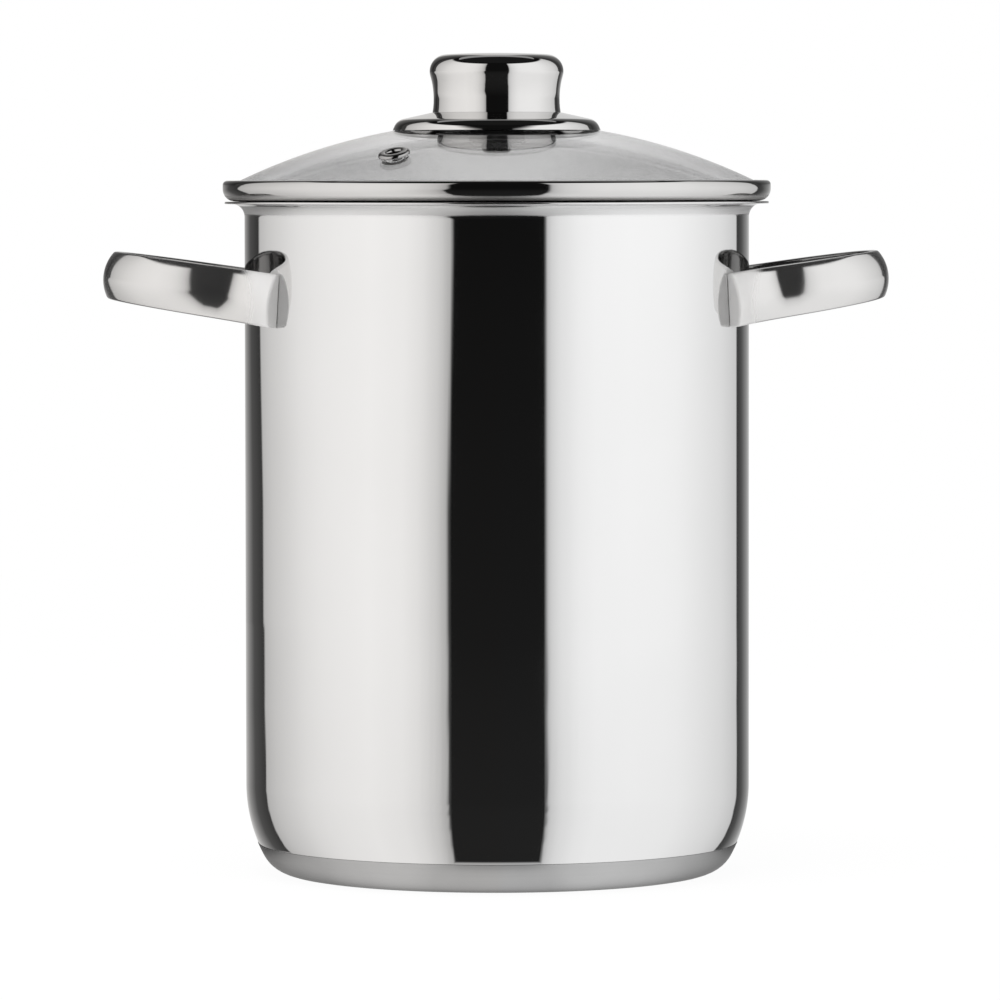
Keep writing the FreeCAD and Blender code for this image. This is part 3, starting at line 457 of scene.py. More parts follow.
slot_of = {part["node"]: part["material_slot"] for part in frame["record"]["subparts"]}
for name, node in frame["nodes"].items():
    material = band_steel if name == "lid_band" else MATERIALS[slot_of[name]]
    node.data.materials.clear()
    node.data.materials.append(material)
    node.data.shade_smooth()
    node.data.set_sharp_from_angle(angle=SHARP)


# Turned pieces: the same outlines as in the solids, with enough faces for a mirror polish


def corner(across, up, soft=0.0, bend=0.0, side=LEFT):
    """A corner of an outline: its place, the radius that rounds it, and the bend of its next edge."""
    return {"spot": Vector((across, up)), "soft": soft, "bend": bend, "side": side}


def leg(long_side, side):
    """The other short side of a right triangle."""
    return math.sqrt(long_side * long_side - side * side)


def reversed_side(corners):
    """The same side walked the other way, with each bend on the edge it belongs to."""
    walked = []
    for index in range(len(corners) - 1, -1, -1):
        here = dict(corners[index])
        before = corners[index - 1] if index else None
        here["bend"] = before["bend"] if before else 0.0
        here["side"] = -before["side"] if before else LEFT
        walked.append(here)
    return walked


def arc_points(start, end, radius, side):
    """Points along the short arc that turns to one side: its start left out, its end kept."""
    chord = end - start
    away = math.sqrt(max(radius * radius - chord.length_squared / 4, 0.0))
    centre = (start + end) / 2 + Vector((-chord.y, chord.x)).normalized() * away * side
    first = math.atan2(start.y - centre.y, start.x - centre.x)
    last = math.atan2(end.y - centre.y, end.x - centre.x)
    span = (last - first) * side % math.tau
    count = max(2, math.ceil(span / ARC_TURN), math.ceil(span * radius / ARC_RUN))
    turns = [first + side * span * step / count for step in range(1, count)]
    return [centre + Vector((math.cos(turn), math.sin(turn))) * radius for turn in turns] + [end]


def run_points(start, end):
    """Two points near the ends of a long straight run, so that its face stays flat."""
    way = (end - start).normalized() * EDGE_RUN
    if (end - start).length < EDGE_RUN * 4:
        return []
    return [start + way, end - way]


def soft_points(before, here, after):
    """Where a rounded corner leaves its two straight edges, and which way it turns."""
    back = (before - here["spot"]).normalized()
    onward = (after - here["spot"]).normalized()
    run = here["soft"] / math.tan(back.angle(onward) / 2)
    side = LEFT if onward.x * back.y - onward.y * back.x > 0 else RIGHT
    return here["spot"] + back * run, here["spot"] + onward * run, side


def trace(corners):
    """The points of a closed outline, its bends and rounded corners followed closely."""
    count = len(corners)
    arrive = [here["spot"] for here in corners]
    depart = list(arrive)
    sides = [LEFT] * count
    for index, here in enumerate(corners):
        if here["soft"]:
            before = corners[index - 1]["spot"]
            after = corners[(index + 1) % count]["spot"]
            arrive[index], depart[index], sides[index] = soft_points(before, here, after)
    points = []
    for index, here in enumerate(corners):
        end = arrive[(index + 1) % count]
        points.append(arrive[index])
        if here["soft"]:
            points += arc_points(arrive[index], depart[index], here["soft"], sides[index])
        if here["bend"]:
            points += arc_points(depart[index], end, here["bend"], here["side"])[:-1]
        else:
            points += run_points(depart[index], end)
    return points


def turn_round(points):
    """Vertices and faces of an outline turned round the axis, each face under its row and column."""
    vertices = []
    rows = []
    for across, up in points:
        on_axis = across < WELD / 4
        rows.append([len(vertices) + (0 if on_axis else column) for column in range(TURNS)])
        for column in range(1 if on_axis else TURNS):
            turn = math.tau * column / TURNS
            vertices.append(Vector((across * math.cos(turn), across * math.sin(turn), up)))
    faces = {}
    for row in range(len(rows)):
        low = rows[row]
        high = rows[(row + 1) % len(rows)]
        for column in range(TURNS):
            after = (column + 1) % TURNS
            face = tuple(dict.fromkeys((low[column], low[after], high[after], high[column])))
            if len(face) > 2:
                faces[row, column] = face
    return vertices, rows, faces


def add_object(name, data):
    """An object in the scene."""
    thing = bpy.data.objects.new(name, data)
    bpy.context.scene.collection.objects.link(thing)
    return thing


def add_piece(name, node, vertices, faces, place):
    """A piece of the pot that stands for one node and takes its material."""
    mesh = bpy.data.meshes.new(name)
    mesh.from_pydata([place @ (vertex * MM) for vertex in vertices], [], list(faces))
    form = bmesh.new()
    form.from_mesh(mesh)
    bmesh.ops.recalc_face_normals(form, faces=form.faces)
    form.to_mesh(mesh)
    form.free()
    mesh.materials.append(frame["nodes"][node].data.materials[0])
    mesh.shade_smooth()
    mesh.set_sharp_from_angle(angle=SHARP)
    piece = add_object(name, mesh)
    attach(piece, "pot")
    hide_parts(node)


def add_turned(name, node, corners, up=0.0, place=None):
    """A turned piece that stands for one node."""
    vertices, rows, faces = turn_round(trace(corners))
    add_piece(name, node, vertices, faces.values(), place or Matrix.Translation((0, 0, up * MM)))


shoulder_across = POT_RADIUS - SHOULDER_BEND
floor_drop = SHOULDER_UP - FLOOR_UP - FLOOR_BEND
floor_edge = shoulder_across + leg(SHOULDER_BEND - FLOOR_BEND, floor_drop)


def seam_point(out):
    """Where the tight bend runs into the long curve, moved out from the sheet by a distance."""
    reach = (SHOULDER_BEND + out) / (SHOULDER_BEND - FLOOR_BEND)
    return shoulder_across + (floor_edge - shoulder_across) * reach, SHOULDER_UP - floor_drop * reach


def pot_side(inset):
    """One side of the pot's sheet, from the axis out to the rim. The inset is nought for the outside."""
    wall = POT_RADIUS - inset
    return [
        corner(0.0, FLOOR_UP + inset),
        corner(floor_edge, FLOOR_UP + inset, bend=FLOOR_BEND - inset),
        corner(*seam_point(-inset), bend=SHOULDER_BEND - inset),
        corner(wall, SHOULDER_UP),
        corner(wall, RIM_TOP - POT_WALL - RIM_BEND, bend=RIM_BEND + inset, side=RIGHT),
        corner(POT_RADIUS + RIM_BEND, RIM_TOP - POT_WALL + inset),
    ]


def pot_corners():
    """The deep-drawn pot: one sheet from the floor to the turned-out rim."""
    rim = POT_RADIUS + RIM_REACH
    soft = POT_WALL / 2 * RIM_ROUND_SHARE
    rim_end = [corner(rim, RIM_TOP - POT_WALL, soft=soft), corner(rim, RIM_TOP, soft=soft)]
    return pot_side(0.0) + rim_end + reversed_side(pot_side(POT_WALL))


def cap_corners(inset):
    """One side of the base cap, from the axis to its upper curve. The inset is nought for the outside."""
    reach = SHOULDER_BEND + CAP_PROUD
    drop = SHOULDER_UP - CAP_BEND
    flat_edge = shoulder_across + leg(reach - CAP_BEND, drop)
    scale = (reach - inset) / (reach - CAP_BEND)
    return [
        corner(0.0, inset),
        corner(flat_edge, inset, bend=CAP_BEND - inset),
        corner(shoulder_across + (flat_edge - shoulder_across) * scale, SHOULDER_UP - drop * scale,
               bend=reach - inset),
    ]


def tuck_point():
    """Where the inside of the cap meets the pot's tight bend."""
    apart = SHOULDER_BEND - FLOOR_BEND
    wide = SHOULDER_BEND + CAP_PROUD - CAP_WALL
    tight = FLOOR_BEND + WELD
    along = (wide * wide - tight * tight + apart * apart) / (apart * 2)
    off = leg(wide, along)
    run = (floor_edge - shoulder_across) / apart
    fall = floor_drop / apart
    return shoulder_across + along * run - off * fall, SHOULDER_UP - along * fall - off * run


def base_corners():
    """The satin cap that closes the base, with its edge pressed thin."""
    seam = [
        corner(*seam_point(CAP_PROUD)),
        corner(*seam_point(WELD), bend=FLOOR_BEND + WELD, side=RIGHT),
        corner(*tuck_point(), bend=SHOULDER_BEND + CAP_PROUD - CAP_WALL, side=RIGHT),
    ]
    return cap_corners(0.0) + seam + reversed_side(cap_corners(CAP_WALL))


glass_bend = GLASS_EDGE - GLASS_FLAT
glass_radius = (glass_bend * glass_bend + GLASS_RISE * GLASS_RISE) / (GLASS_RISE * 2)
glass_under = RIM_TOP + GLASS_LIFT
glass_top = glass_under + GLASS_WALL + GLASS_RISE
dome_centre = glass_top - glass_radius
vent_lean = math.asin(VENT_OUT / glass_radius)


def dome_up(radius, out):
    """Height of a sphere about the dome's centre, at a distance out from the axis."""
    return dome_centre + leg(radius, out)


def dome_corners():
    """The domed glass, with its flat edge and the hole for the knob's screw."""
    inner = glass_radius - GLASS_WALL
    return [
        corner(GLASS_HOLE, dome_up(inner, GLASS_HOLE), bend=inner, side=RIGHT),
        corner(leg(inner, glass_under - dome_centre), glass_under),
        corner(GLASS_EDGE, glass_under, soft=GLASS_ROUND),
        corner(GLASS_EDGE, glass_under + GLASS_WALL, soft=GLASS_ROUND),
        corner(glass_bend, glass_under + GLASS_WALL, bend=glass_radius),
        corner(GLASS_HOLE, dome_up(glass_radius, GLASS_HOLE)),
    ]


def vent_circle(vertices, loop, radius):
    """A circle on the dome, with one point for each point of the loop round it. Returns their numbers."""
    centre = Vector((0.0, 0.0, dome_centre))
    axis = Vector((math.cos(VENT_TURN), math.sin(VENT_TURN), 0.0)) * math.sin(vent_lean)
    axis.z = math.cos(vent_lean)
    bore = VENT_SLEEVE + SEAT
    numbers = []
    for number in loop:
        out = vertices[number] - centre
        out = (out - axis * out.dot(axis)).normalized()
        numbers.append(len(vertices))
        vertices.append(centre + axis * leg(radius, bore) + out * bore)
    return numbers


def patch_loop(rows, first_row, first_column, outward):
    """The edge of a square patch of the dome, from its far corner round, and the faces inside it."""
    far = HOLE_CELLS * 2
    cells = [(first_row + row, first_column + column) for row in range(far) for column in range(far)]
    down = [first_row + row for row in range(far + 1)]
    if outward:
        down.reverse()
    loop = [rows[down[0]][first_column + step] for step in range(far)]
    loop += [rows[down[step]][first_column + far] for step in range(far)]
    loop += [rows[down[far]][first_column + far - step] for step in range(far)]
    loop += [rows[down[far - step]][first_column] for step in range(far)]
    return loop, cells


def add_dome():
    """The glass: a square patch on each side of the dome gives way to the round hole of the vent."""
    points = trace(dome_corners())
    vertices, rows, faces = turn_round(points)
    turn_up = Vector((glass_bend, glass_under + GLASS_WALL))
    split = next(row for row, point in enumerate(points) if (point - turn_up).length < WELD)
    first_column = round(VENT_TURN / math.tau * TURNS) - HOLE_CELLS
    circles = []
    for radius, span, outward in (
        (glass_radius - GLASS_WALL, range(split // 2), True),
        (glass_radius, range(split, len(points)), False),
    ):
        out = VENT_OUT * radius / glass_radius
        middle = min(span, key=lambda row: abs(points[row].x - out))
        loop, cells = patch_loop(rows, middle - HOLE_CELLS, first_column, outward)
        for cell in cells:
            del faces[cell]
        circle = vent_circle(vertices, loop, radius)
        circles.append(circle)
        for step in range(len(loop)):
            after = (step + 1) % len(loop)
            faces[radius, step] = (loop[step], loop[after], circle[after], circle[step])
    inner, outer = circles
    for step in range(len(inner)):
        after = (step + 1) % len(inner)
        faces["bore", step] = (inner[step], inner[after], outer[after], outer[step])
    add_piece("lid_dome", "lid_glass", vertices, faces.values(), Matrix.Identity(4))


def eyelet_corners():
    """The rolled eyelet of the vent, above and below the glass."""
    tail = GLASS_WALL + SEAT
    return [
        corner(VENT_BORE, -tail - VENT_CROWN / 2),
        corner(VENT_TAIL, -tail - VENT_CROWN / 2, soft=VENT_CROWN / 4),
        corner(VENT_TAIL, -tail),
        corner(VENT_SLEEVE, -tail),
        corner(VENT_SLEEVE, SEAT),
        corner(VENT_FLANGE, SEAT),
        corner(VENT_FLANGE, VENT_CROWN, soft=VENT_CROWN_ROUND),
        corner(VENT_BORE, VENT_CROWN, soft=VENT_CROWN_ROUND),
    ]


def vent_place():
    """Where the eyelet stands: square to the glass."""
    across = VENT_OUT * math.cos(VENT_TURN)
    along = VENT_OUT * math.sin(VENT_TURN)
    spot = Vector((across, along, dome_up(glass_radius, VENT_OUT)))
    turn = Matrix.Rotation(VENT_TURN, 4, "Z") @ Matrix.Rotation(vent_lean, 4, "Y")
    return Matrix.Translation(spot * MM) @ turn


def step_between(start, end):
    """Direction of a level or upright run, as whole numbers."""
    across = end[0] - start[0]
    up = end[1] - start[1]
    if abs(across) > abs(up):
        return int(math.copysign(1, across)), 0
    return 0, int(math.copysign(1, up))


def strip_corners(path, wall):
    """Both sides of a folded strip whose runs are level or upright. Path: across, up, bend."""
    half = wall / 2
    sides = []
    for side in (LEFT, RIGHT):
        line = []
        for index, (across, up, bend) in enumerate(path):
            runs = []
            if index > 0:
                runs.append(step_between(path[index - 1], path[index]))
            if index < len(path) - 1:
                runs.append(step_between(path[index], path[index + 1]))
            shift_across = sum(-run[1] for run in runs) * side
            shift_up = sum(run[0] for run in runs) * side
            soft = 0.0
            if bend:
                turn = runs[0][0] * runs[1][1] - runs[0][1] * runs[1][0]
                soft = bend - half * turn * side
            line.append(corner(across + half * shift_across, up + half * shift_up, soft=soft))
        sides.append(line)
    return sides[0] + sides[1][::-1]


def band_corners():
    """The rolled band: folded over the glass, round its edge, under it and down into the pot."""
    half = BAND_WALL / 2
    over = glass_under + GLASS_WALL + WELD + half
    under = glass_under - WELD - half
    rest = RIM_TOP + SEAT + half
    outer = GLASS_EDGE + BAND_GAP + half
    skirt = POT_RADIUS - POT_WALL - SKIRT_GAP - half
    inner = skirt - SKIRT_FOLD
    foot = RIM_TOP - SKIRT_DEEP + half
    path = [
        (outer - BAND_CURL - half, over, 0.0),
        (outer, over, BAND_TOP_BEND),
        (outer, rest, BAND_BEND),
        (skirt, rest, BAND_TIGHT_BEND),
        (skirt, foot, SKIRT_FOLD_BEND),
        (inner, foot, SKIRT_FOLD_BEND),
        (inner, under, BAND_TIGHT_BEND),
        (inner + LEDGE_REACH, under, 0.0),
    ]
    return strip_corners(path, BAND_WALL)


rose_top = glass_top + ROSE_UP
knob_foot = rose_top + SEAT


def rose_corners():
    """The dished plate under the knob."""
    edge_up = dome_up(glass_radius, ROSE_RADIUS - ROSE_WALL) - rose_top + SEAT
    return [
        corner(ROSE_BORE, -ROSE_WALL),
        corner(ROSE_FLAT, -ROSE_WALL),
        corner(ROSE_SHOULDER - ROSE_WALL, -ROSE_DROP - ROSE_WALL, soft=ROSE_ROUND - ROSE_WALL),
        corner(ROSE_RADIUS - ROSE_WALL, edge_up),
        corner(ROSE_RADIUS, edge_up),
        corner(ROSE_SHOULDER, -ROSE_DROP, soft=ROSE_ROUND),
        corner(ROSE_FLAT, 0.0),
        corner(ROSE_BORE, 0.0),
    ]


def knob_side(inset):
    """One side of the knob's sheet, from its foot up to the middle of its top."""
    side_across = KNOB_WAIST + KNOB_HOLLOW
    brim = side_across - leg(KNOB_HOLLOW, KNOB_TALL - KNOB_CROWN - KNOB_WAIST_UP)
    crown = (brim * brim + KNOB_CROWN * KNOB_CROWN) / (KNOB_CROWN * 2)
    crown_up = KNOB_TALL - crown
    rise = KNOB_WAIST_UP - crown_up
    apart = math.hypot(side_across, rise)
    to_side = KNOB_HOLLOW + KNOB_ROUND
    to_crown = crown - KNOB_ROUND
    along = (to_crown * to_crown - to_side * to_side + apart * apart) / (apart * 2)
    off = leg(to_crown, along)
    round_across = (side_across * along - rise * off) / apart
    round_up = crown_up + (rise * along + side_across * off) / apart
    side = KNOB_HOLLOW + inset
    side_share = side / to_side
    top_across = side_across + (round_across - side_across) * side_share
    top_up = KNOB_WAIST_UP + (round_up - KNOB_WAIST_UP) * side_share
    crown_share = (crown - inset) / to_crown
    brow_up = crown_up + (round_up - crown_up) * crown_share
    return [
        corner(side_across - leg(side, KNOB_WAIST_UP), 0.0, bend=side, side=RIGHT),
        corner(top_across, top_up, bend=KNOB_ROUND - inset),
        corner(round_across * crown_share, brow_up, bend=crown - inset),
        corner(0.0, KNOB_TALL - inset),
    ]


# Side handles: a crowned strap along a loop, spread to two feet that end on the wall

handle_loop = HANDLE_HALF_SPAN - STRAP["thick"] / 2
flare_along = handle_loop + FLARE_RADIUS * (1 - math.cos(FLARE_ANGLE))
flare_across = leg(POT_RADIUS, flare_along) + FOOT_OFF
loop_centre = flare_across + FLARE_RADIUS * math.sin(FLARE_ANGLE) + LEG_RUN


def handle_stations():
    """Stops along one half of the loop, seen from above: point, way out from the strap, and length so far."""
    stations = []
    count = math.ceil(math.pi / 2 / BEND_TURN)
    for step in range(count + 1):
        turn = math.pi / 2 * step / count
        out = Vector((math.cos(turn), math.sin(turn)))
        stations.append((Vector((loop_centre, 0.0)) + out * handle_loop, out, handle_loop * turn))
    length = handle_loop * math.pi / 2 + LEG_RUN
    centre = Vector((loop_centre - LEG_RUN, handle_loop + FLARE_RADIUS))
    count = math.ceil(FLARE_ANGLE / BEND_TURN)
    for step in range(count + 1):
        turn = FLARE_ANGLE * step / count
        out = Vector((math.sin(turn), math.cos(turn)))
        stations.append((centre - out * FLARE_RADIUS, out, length + FLARE_RADIUS * turn))
    spot, out, length = stations[-1]
    onward = Vector((-out.y, out.x))
    plain = FOOT_RUN - FOOT_ROUND
    runs = [plain * (step + 1) / FOOT_STEPS for step in range(FOOT_STEPS)]
    turns = [math.pi / 2 * (step + 1) / END_STEPS for step in range(END_STEPS)]
    runs += [plain + FOOT_ROUND * math.sin(turn) for turn in turns]
    stations += [(spot + onward * run, out, length + run) for run in runs]
    return stations


def strap_ring(tall, thick, edge, inset):
    """The strap's crowned section as pairs: out from its inner side, and up. The inset draws it in."""
    half = tall / 2
    rise = thick - edge
    crown = (half * half + rise * rise) / (rise * 2)
    centre = edge - leg(crown, half - STRAP_BEVEL)
    crown -= inset
    half -= inset
    brow_up = half - STRAP_ROUND
    brow_out = centre + leg(crown - STRAP_ROUND, brow_up)
    lean = math.atan2(brow_up, brow_out - centre)
    ring = []
    for step in range(CROWN_STEPS + 1):
        turn = lean * (step * 2 / CROWN_STEPS - 1)
        ring.append((centre + crown * math.cos(turn), crown * math.sin(turn)))
    for step in range(1, ROUND_STEPS + 1):
        turn = lean + (math.pi / 2 - lean) * step / ROUND_STEPS
        ring.append((brow_out + STRAP_ROUND * math.cos(turn), brow_up + STRAP_ROUND * math.sin(turn)))
    for step in range(1, SIDE_STEPS):
        ring.append((brow_out + (STRAP_INNER_ROUND - brow_out) * step / SIDE_STEPS, half))
    for step in range(ROUND_STEPS + 1):
        turn = math.pi / 2 * (1 + step / ROUND_STEPS)
        inward = STRAP_INNER_ROUND * (1 + math.cos(turn))
        ring.append((inward, half - STRAP_INNER_ROUND * (1 - math.sin(turn))))
    ring.append((0.0, half - STRAP_INNER_ROUND - EDGE_RUN))
    lower = [(out, -up) for out, up in reversed(ring[CROWN_STEPS + 1:])]
    return ring + lower


def strap_lines():
    """One line of points along the strap for each point of its section, from the loop's end to the foot."""
    stations = handle_stations()
    whole = stations[-1][2]
    lines = []
    for spot, out, length in stations:
        share = length / whole
        sizes = {key: STRAP[key] + (FOOT[key] - STRAP[key]) * share for key in STRAP}
        over = max(0.0, length - whole + FOOT_ROUND)
        inset = FOOT_ROUND - leg(FOOT_ROUND, min(over, FOOT_ROUND))
        ring = strap_ring(sizes["tall"], sizes["thick"], sizes["edge"], inset)
        half = sizes["thick"] / 2
        lines.append([(*(spot + out * (away - half)), up) for away, up in ring])
    return [[Vector(points[column]) for points in lines] for column in range(len(lines[0]))]


def trimmed(line, place):
    """A line of the strap, ended where it meets the wall, with as many points as before."""
    wall = POT_RADIUS + WELD
    flare = len(line) - FOOT_STEPS - END_STEPS - math.ceil(FLARE_ANGLE / BEND_TURN) // 2
    steps = [(line[index + 1] - line[index]).length for index in range(len(line) - 1)]
    for index in range(flare, len(line) - 1):
        near = (place @ line[index]).xy.length - wall
        far = (place @ line[index + 1]).xy.length - wall
        if far < 0 < near:
            break
    else:
        return line
    share = near / (near - far)
    kept = sum(steps[flare:index]) + steps[index] * share
    whole = sum(steps[flare:])
    points = line[:flare + 1]
    for target in range(flare + 1, len(line)):
        want = sum(steps[flare:target]) * kept / whole
        at = flare
        while at < len(steps) - 1 and want > steps[at]:
            want -= steps[at]
            at += 1
        points.append(line[at].lerp(line[at + 1], want / steps[at]))
    return points


def onto_wall(spot, onward):
    """A point of the foot's end face, drawn back along the foot where it would be inside the wall."""
    wall = POT_RADIUS + WELD
    inside = spot.xy.length_squared - wall * wall
    if inside >= 0:
        return spot
    back = -onward.xy
    across = spot.xy.dot(back)
    run = (math.sqrt(across * across - back.length_squared * inside) - across) / back.length_squared
    return spot - onward * run


def close_foot(vertices, first, tips, onward):
    """Faces that close a foot: its flat end as far as the wall, and then the part that fits the wall."""
    around = len(tips)
    middle = CROWN_STEPS // 2
    columns = []
    for step in range(1, around // 2):
        upper = middle + step
        lower = (middle - step) % around
        column = [first + upper]
        for row in range(1, CLOSE_STEPS):
            column.append(len(vertices))
            vertices.append(onto_wall(tips[upper].lerp(tips[lower], row / CLOSE_STEPS), onward))
        columns.append(column + [first + lower])
    faces = [(first + middle, low, high) for low, high in zip(columns[0], columns[0][1:])]
    for left, right in zip(columns, columns[1:]):
        for row in range(CLOSE_STEPS):
            faces.append((left[row], left[row + 1], right[row + 1], right[row]))
    top = first + middle + around // 2
    last = columns[-1]
    for row in range(CLOSE_STEPS):
        faces.append((last[row], last[row + 1], top if row < CLOSE_STEPS // 2 else top + 1))
    faces.append((last[CLOSE_STEPS // 2], top + 1, top))
    return faces


def on_side(point, half):
    """The same point on one half of the strap, 1 or -1."""
    return Vector((point.x, point.y * half, point.z))


def add_handle(name, node, turn):
    """A side handle: both halves of the strap, each with its foot closed against the wall."""
    rise = POT_RADIUS * math.tan(HANDLE_TILT)
    slope = Matrix.Rotation(turn, 4, "Z") @ Matrix.Rotation(-HANDLE_TILT, 4, "Y")
    place = Matrix.Translation((0.0, 0.0, RIM_TOP - HANDLE_DROP - rise)) @ slope
    whole = strap_lines()
    lines = [trimmed(line, place) for line in whole]
    around = len(lines)
    vertices = []
    rows = []
    for half, start in ((-1, 1), (1, 0)):
        for index in range(start, len(lines[0])):
            rows.append((half * index, len(vertices)))
            vertices += [place @ on_side(line[index], half) for line in lines]
    rows = [first for order, first in sorted(rows)]
    faces = []
    for low, high in zip(rows, rows[1:]):
        for column in range(around):
            after = (column + 1) % around
            faces.append((low + column, low + after, high + after, high + column))
    for half, first in ((-1, rows[0]), (1, rows[-1])):
        tips = [place @ on_side(line[-1], half) for line in whole]
        onward = slope.to_3x3() @ Vector((-math.cos(FLARE_ANGLE), math.sin(FLARE_ANGLE) * half, 0.0))
        faces += close_foot(vertices, first, tips, onward)
    add_piece(name, node, vertices, faces, Matrix.Identity(4))


add_handle("handle_left", "side_handle_left", math.pi)
add_handle("handle_right", "side_handle_right", 0.0)
add_turned("pot_wall", "pot_body", pot_corners())
add_turned("base_shell", "base_cap", base_corners())
add_turned("lid_rolled_band", "lid_band", band_corners())
add_dome()
add_turned("vent_ring", "vent_eyelet", eyelet_corners(), place=vent_place())
add_turned("knob_plate", "knob_rose", rose_corners(), up=rose_top)
add_turned("knob_shell", "lid_knob", knob_side(0.0) + reversed_side(knob_side(KNOB_WALL)), up=knob_foot)


# Studio


def front(angle):
    """A level direction, turned by an angle from the camera's side of the pot towards +X."""
    turn = angle - CAMERA_TURN
    return Vector((math.sin(turn), -math.cos(turn), 0.0))


def mirror_ray(angle):
    """Where the wall faces that angle, and the way the camera's look leaves it by reflection."""
    wall = POT_RADIUS * MM
    start = front(angle) * wall
    lean = math.atan2(wall * math.sin(angle), CAMERA_AWAY - wall * math.cos(angle))
    return start, 2 * angle + lean


def card_place(tree):
    """How far round a card stands, in shares of half a turn, and its side: nought is left, one is right."""
    return axes_of(tree, add_node(tree, "ShaderNodeUVMap").outputs["UV"])[:2]


def card_tint(tree):
    """The cards' colour: faintly warm to the left of the pot."""
    side = card_place(tree)[1]
    return vector_of(tree, *[blend_values(tree, side, level, 1.0) for level in WARM_CARD])


def bare_material(name):
    """A material that has no shader yet."""
    material, tree, shader = new_material(name)
    tree.nodes.remove(shader)
    return material, tree


def show(tree, shader):
    """Make a shader the look of its material."""
    tree.links.new(shader.outputs[0], tree.nodes["Material Output"].inputs["Surface"])


def glow_material(name, strength, colour=None):
    """A material that only gives light, white unless a function of the tree gives a colour."""
    material, tree = bare_material(name)
    tint = colour(tree) if colour else grey(1.0)
    show(tree, add_node(tree, "ShaderNodeEmission", {"Color": tint, "Strength": strength(tree)}))
    return material


def studio_mesh(name, points, faces, material):
    """A mesh that belongs to the studio."""
    mesh = bpy.data.meshes.new(name)
    mesh.from_pydata(points, [], faces)
    mesh.materials.append(material)
    thing = add_object(name, mesh)
    return thing


def studio_disc(name, away, up, step, material):
    """A level disc round the pot's axis, with a corner every few degrees."""
    corners = [front(math.radians(turn)) * away + Vector((0, 0, up)) for turn in range(0, 360, step)]
    return studio_mesh(name, corners, [tuple(range(len(corners)))], material)


def reflections_only(thing):
    """Seen by polished surfaces, and by nothing else."""
    thing.visible_camera = False
    thing.visible_diffuse = False
    thing.visible_transmission = False
    thing.visible_volume_scatter = False
    thing.visible_shadow = False


# The studio to the pot's left and right: shares of half a turn from front to back, and the levels there
BEHIND_STOPS = ((0.830, 0.07), (0.900, 0.27), (0.985, 0.60))
LEFT_STOPS = (
    (0.120, 0.0), (0.128, 0.46), (0.136, 0.53), (0.147, 0.62), (0.157, 0.68), (0.200, 0.84), (0.244, 0.92),
    (0.336, 0.96), (0.435, 0.92), (0.489, 0.89), (0.549, 0.83), (0.614, 0.73), (0.691, 0.62), (0.735, 0.53),
    (0.745, 0.50), (0.752, 0.03),
) + BEHIND_STOPS
RIGHT_STOPS = (
    (0.1193, 0.0), (0.1263, 0.58), (0.138, 0.71), (0.159, 0.82), (0.208, 0.94), (0.252, 0.985), (0.345, 1.0),
    (0.445, 0.985), (0.500, 0.965), (0.560, 0.91), (0.628, 0.84), (0.686, 0.78), (0.755, 0.66),
    (0.784, 0.61), (0.790, 0.03),
) + BEHIND_STOPS
# The cards' columns, the floor's rows by distance from the wall, and the number of upright rows
COLUMNS = 120
FLOOR_ROWS = (CARD_START, 0.0, 0.02, 0.05, 0.12, 0.3, 0.7, TENT_AWAY)
WALL_ROWS = 10
# Levels of the cards near the pot, at the foot of the upright ones and higher up, and of their dark parts
NEAR_LEVEL = 0.905
FOOT_LEVEL = 0.985
RISE_LEVEL = 1.02
NEAR_DARK = 0.0195
FOOT_DARK = 0.0125
RISE_DARK = 0.0069
RISE = 0.2
# The pale ring close under the base
RING_LEVEL = 0.8
RING_ENDS = (0.0825, 0.0855)
# How much further round the dark strips stand at some heights and distances, in shares of half a turn
BEHIND = (0.3, 0.6)
CARD_ZONE = (0.06, 0.185)
KNOB_ZONE = (0.205, 0.26)
KNOB_SHIFT = 0.035
FRONT_SHIFT = 0.0135
BACK_SHIFT = -0.025
FLOOR_ZONE = (0.3, 0.73)
FLOOR_SHIFTS = (0.016, 0.006)
# Upright cards: how tall they shine at the back, how they fade out, and the part that is dim for the knob
BACK_START = (0.76, 0.84)
BACK_TALL = 1.54
TOP_FADE = (-0.12, 0.06)
DIM_START = (0.78, 0.8)
DIM_END = (0.95, 0.99)
KNOB_BACK = 0.3
# The ceiling: how far back its pale patch begins, and its levels
PATCH_START = (0.45, 0.6)
PATCH_LEVEL = 0.3
CEILING_DARK = RISE_DARK * 2


def round_light(tree, share, side, front_shift, back_shift, both_shift):
    """How bright a card is. The shifts move the edges of the dark strips."""
    behind = rescale(tree, share, *BEHIND, 0.0, 1.0)
    moved = calc(tree, "ADD", share, times(tree, behind, both_shift))
    moved_left = calc(tree, "ADD", moved, blend_values(tree, behind, front_shift, back_shift))
    return blend_values(tree, side, ramp(tree, moved_left, LEFT_STOPS), ramp(tree, moved, RIGHT_STOPS))


def lit(tree, level, gain, dark):
    """The strength of a card: its level with its gain, above the dark of the room."""
    return calc(tree, "ADD", times(tree, level, gain, SOFTBOX), dark)


def card_floor_light(tree):
    """Cards on the floor: dimmer towards the pot, with a pale ring under the base."""
    x, y = axes_of(tree, place_of(tree))[:2]
    away = away_from_axis(tree, x, y)
    back_shift = rescale(tree, away, *FLOOR_ZONE, *FLOOR_SHIFTS)
    level = round_light(tree, *card_place(tree), 0.0, back_shift, 0.0)
    level = calc(tree, "MAXIMUM", level, rescale(tree, away, *RING_ENDS, RING_LEVEL, 0.0))
    gain = rescale(tree, away, 0.0, TENT_AWAY, NEAR_LEVEL, FOOT_LEVEL)
    return lit(tree, level, gain, rescale(tree, away, 0.0, TENT_AWAY, NEAR_DARK, FOOT_DARK))


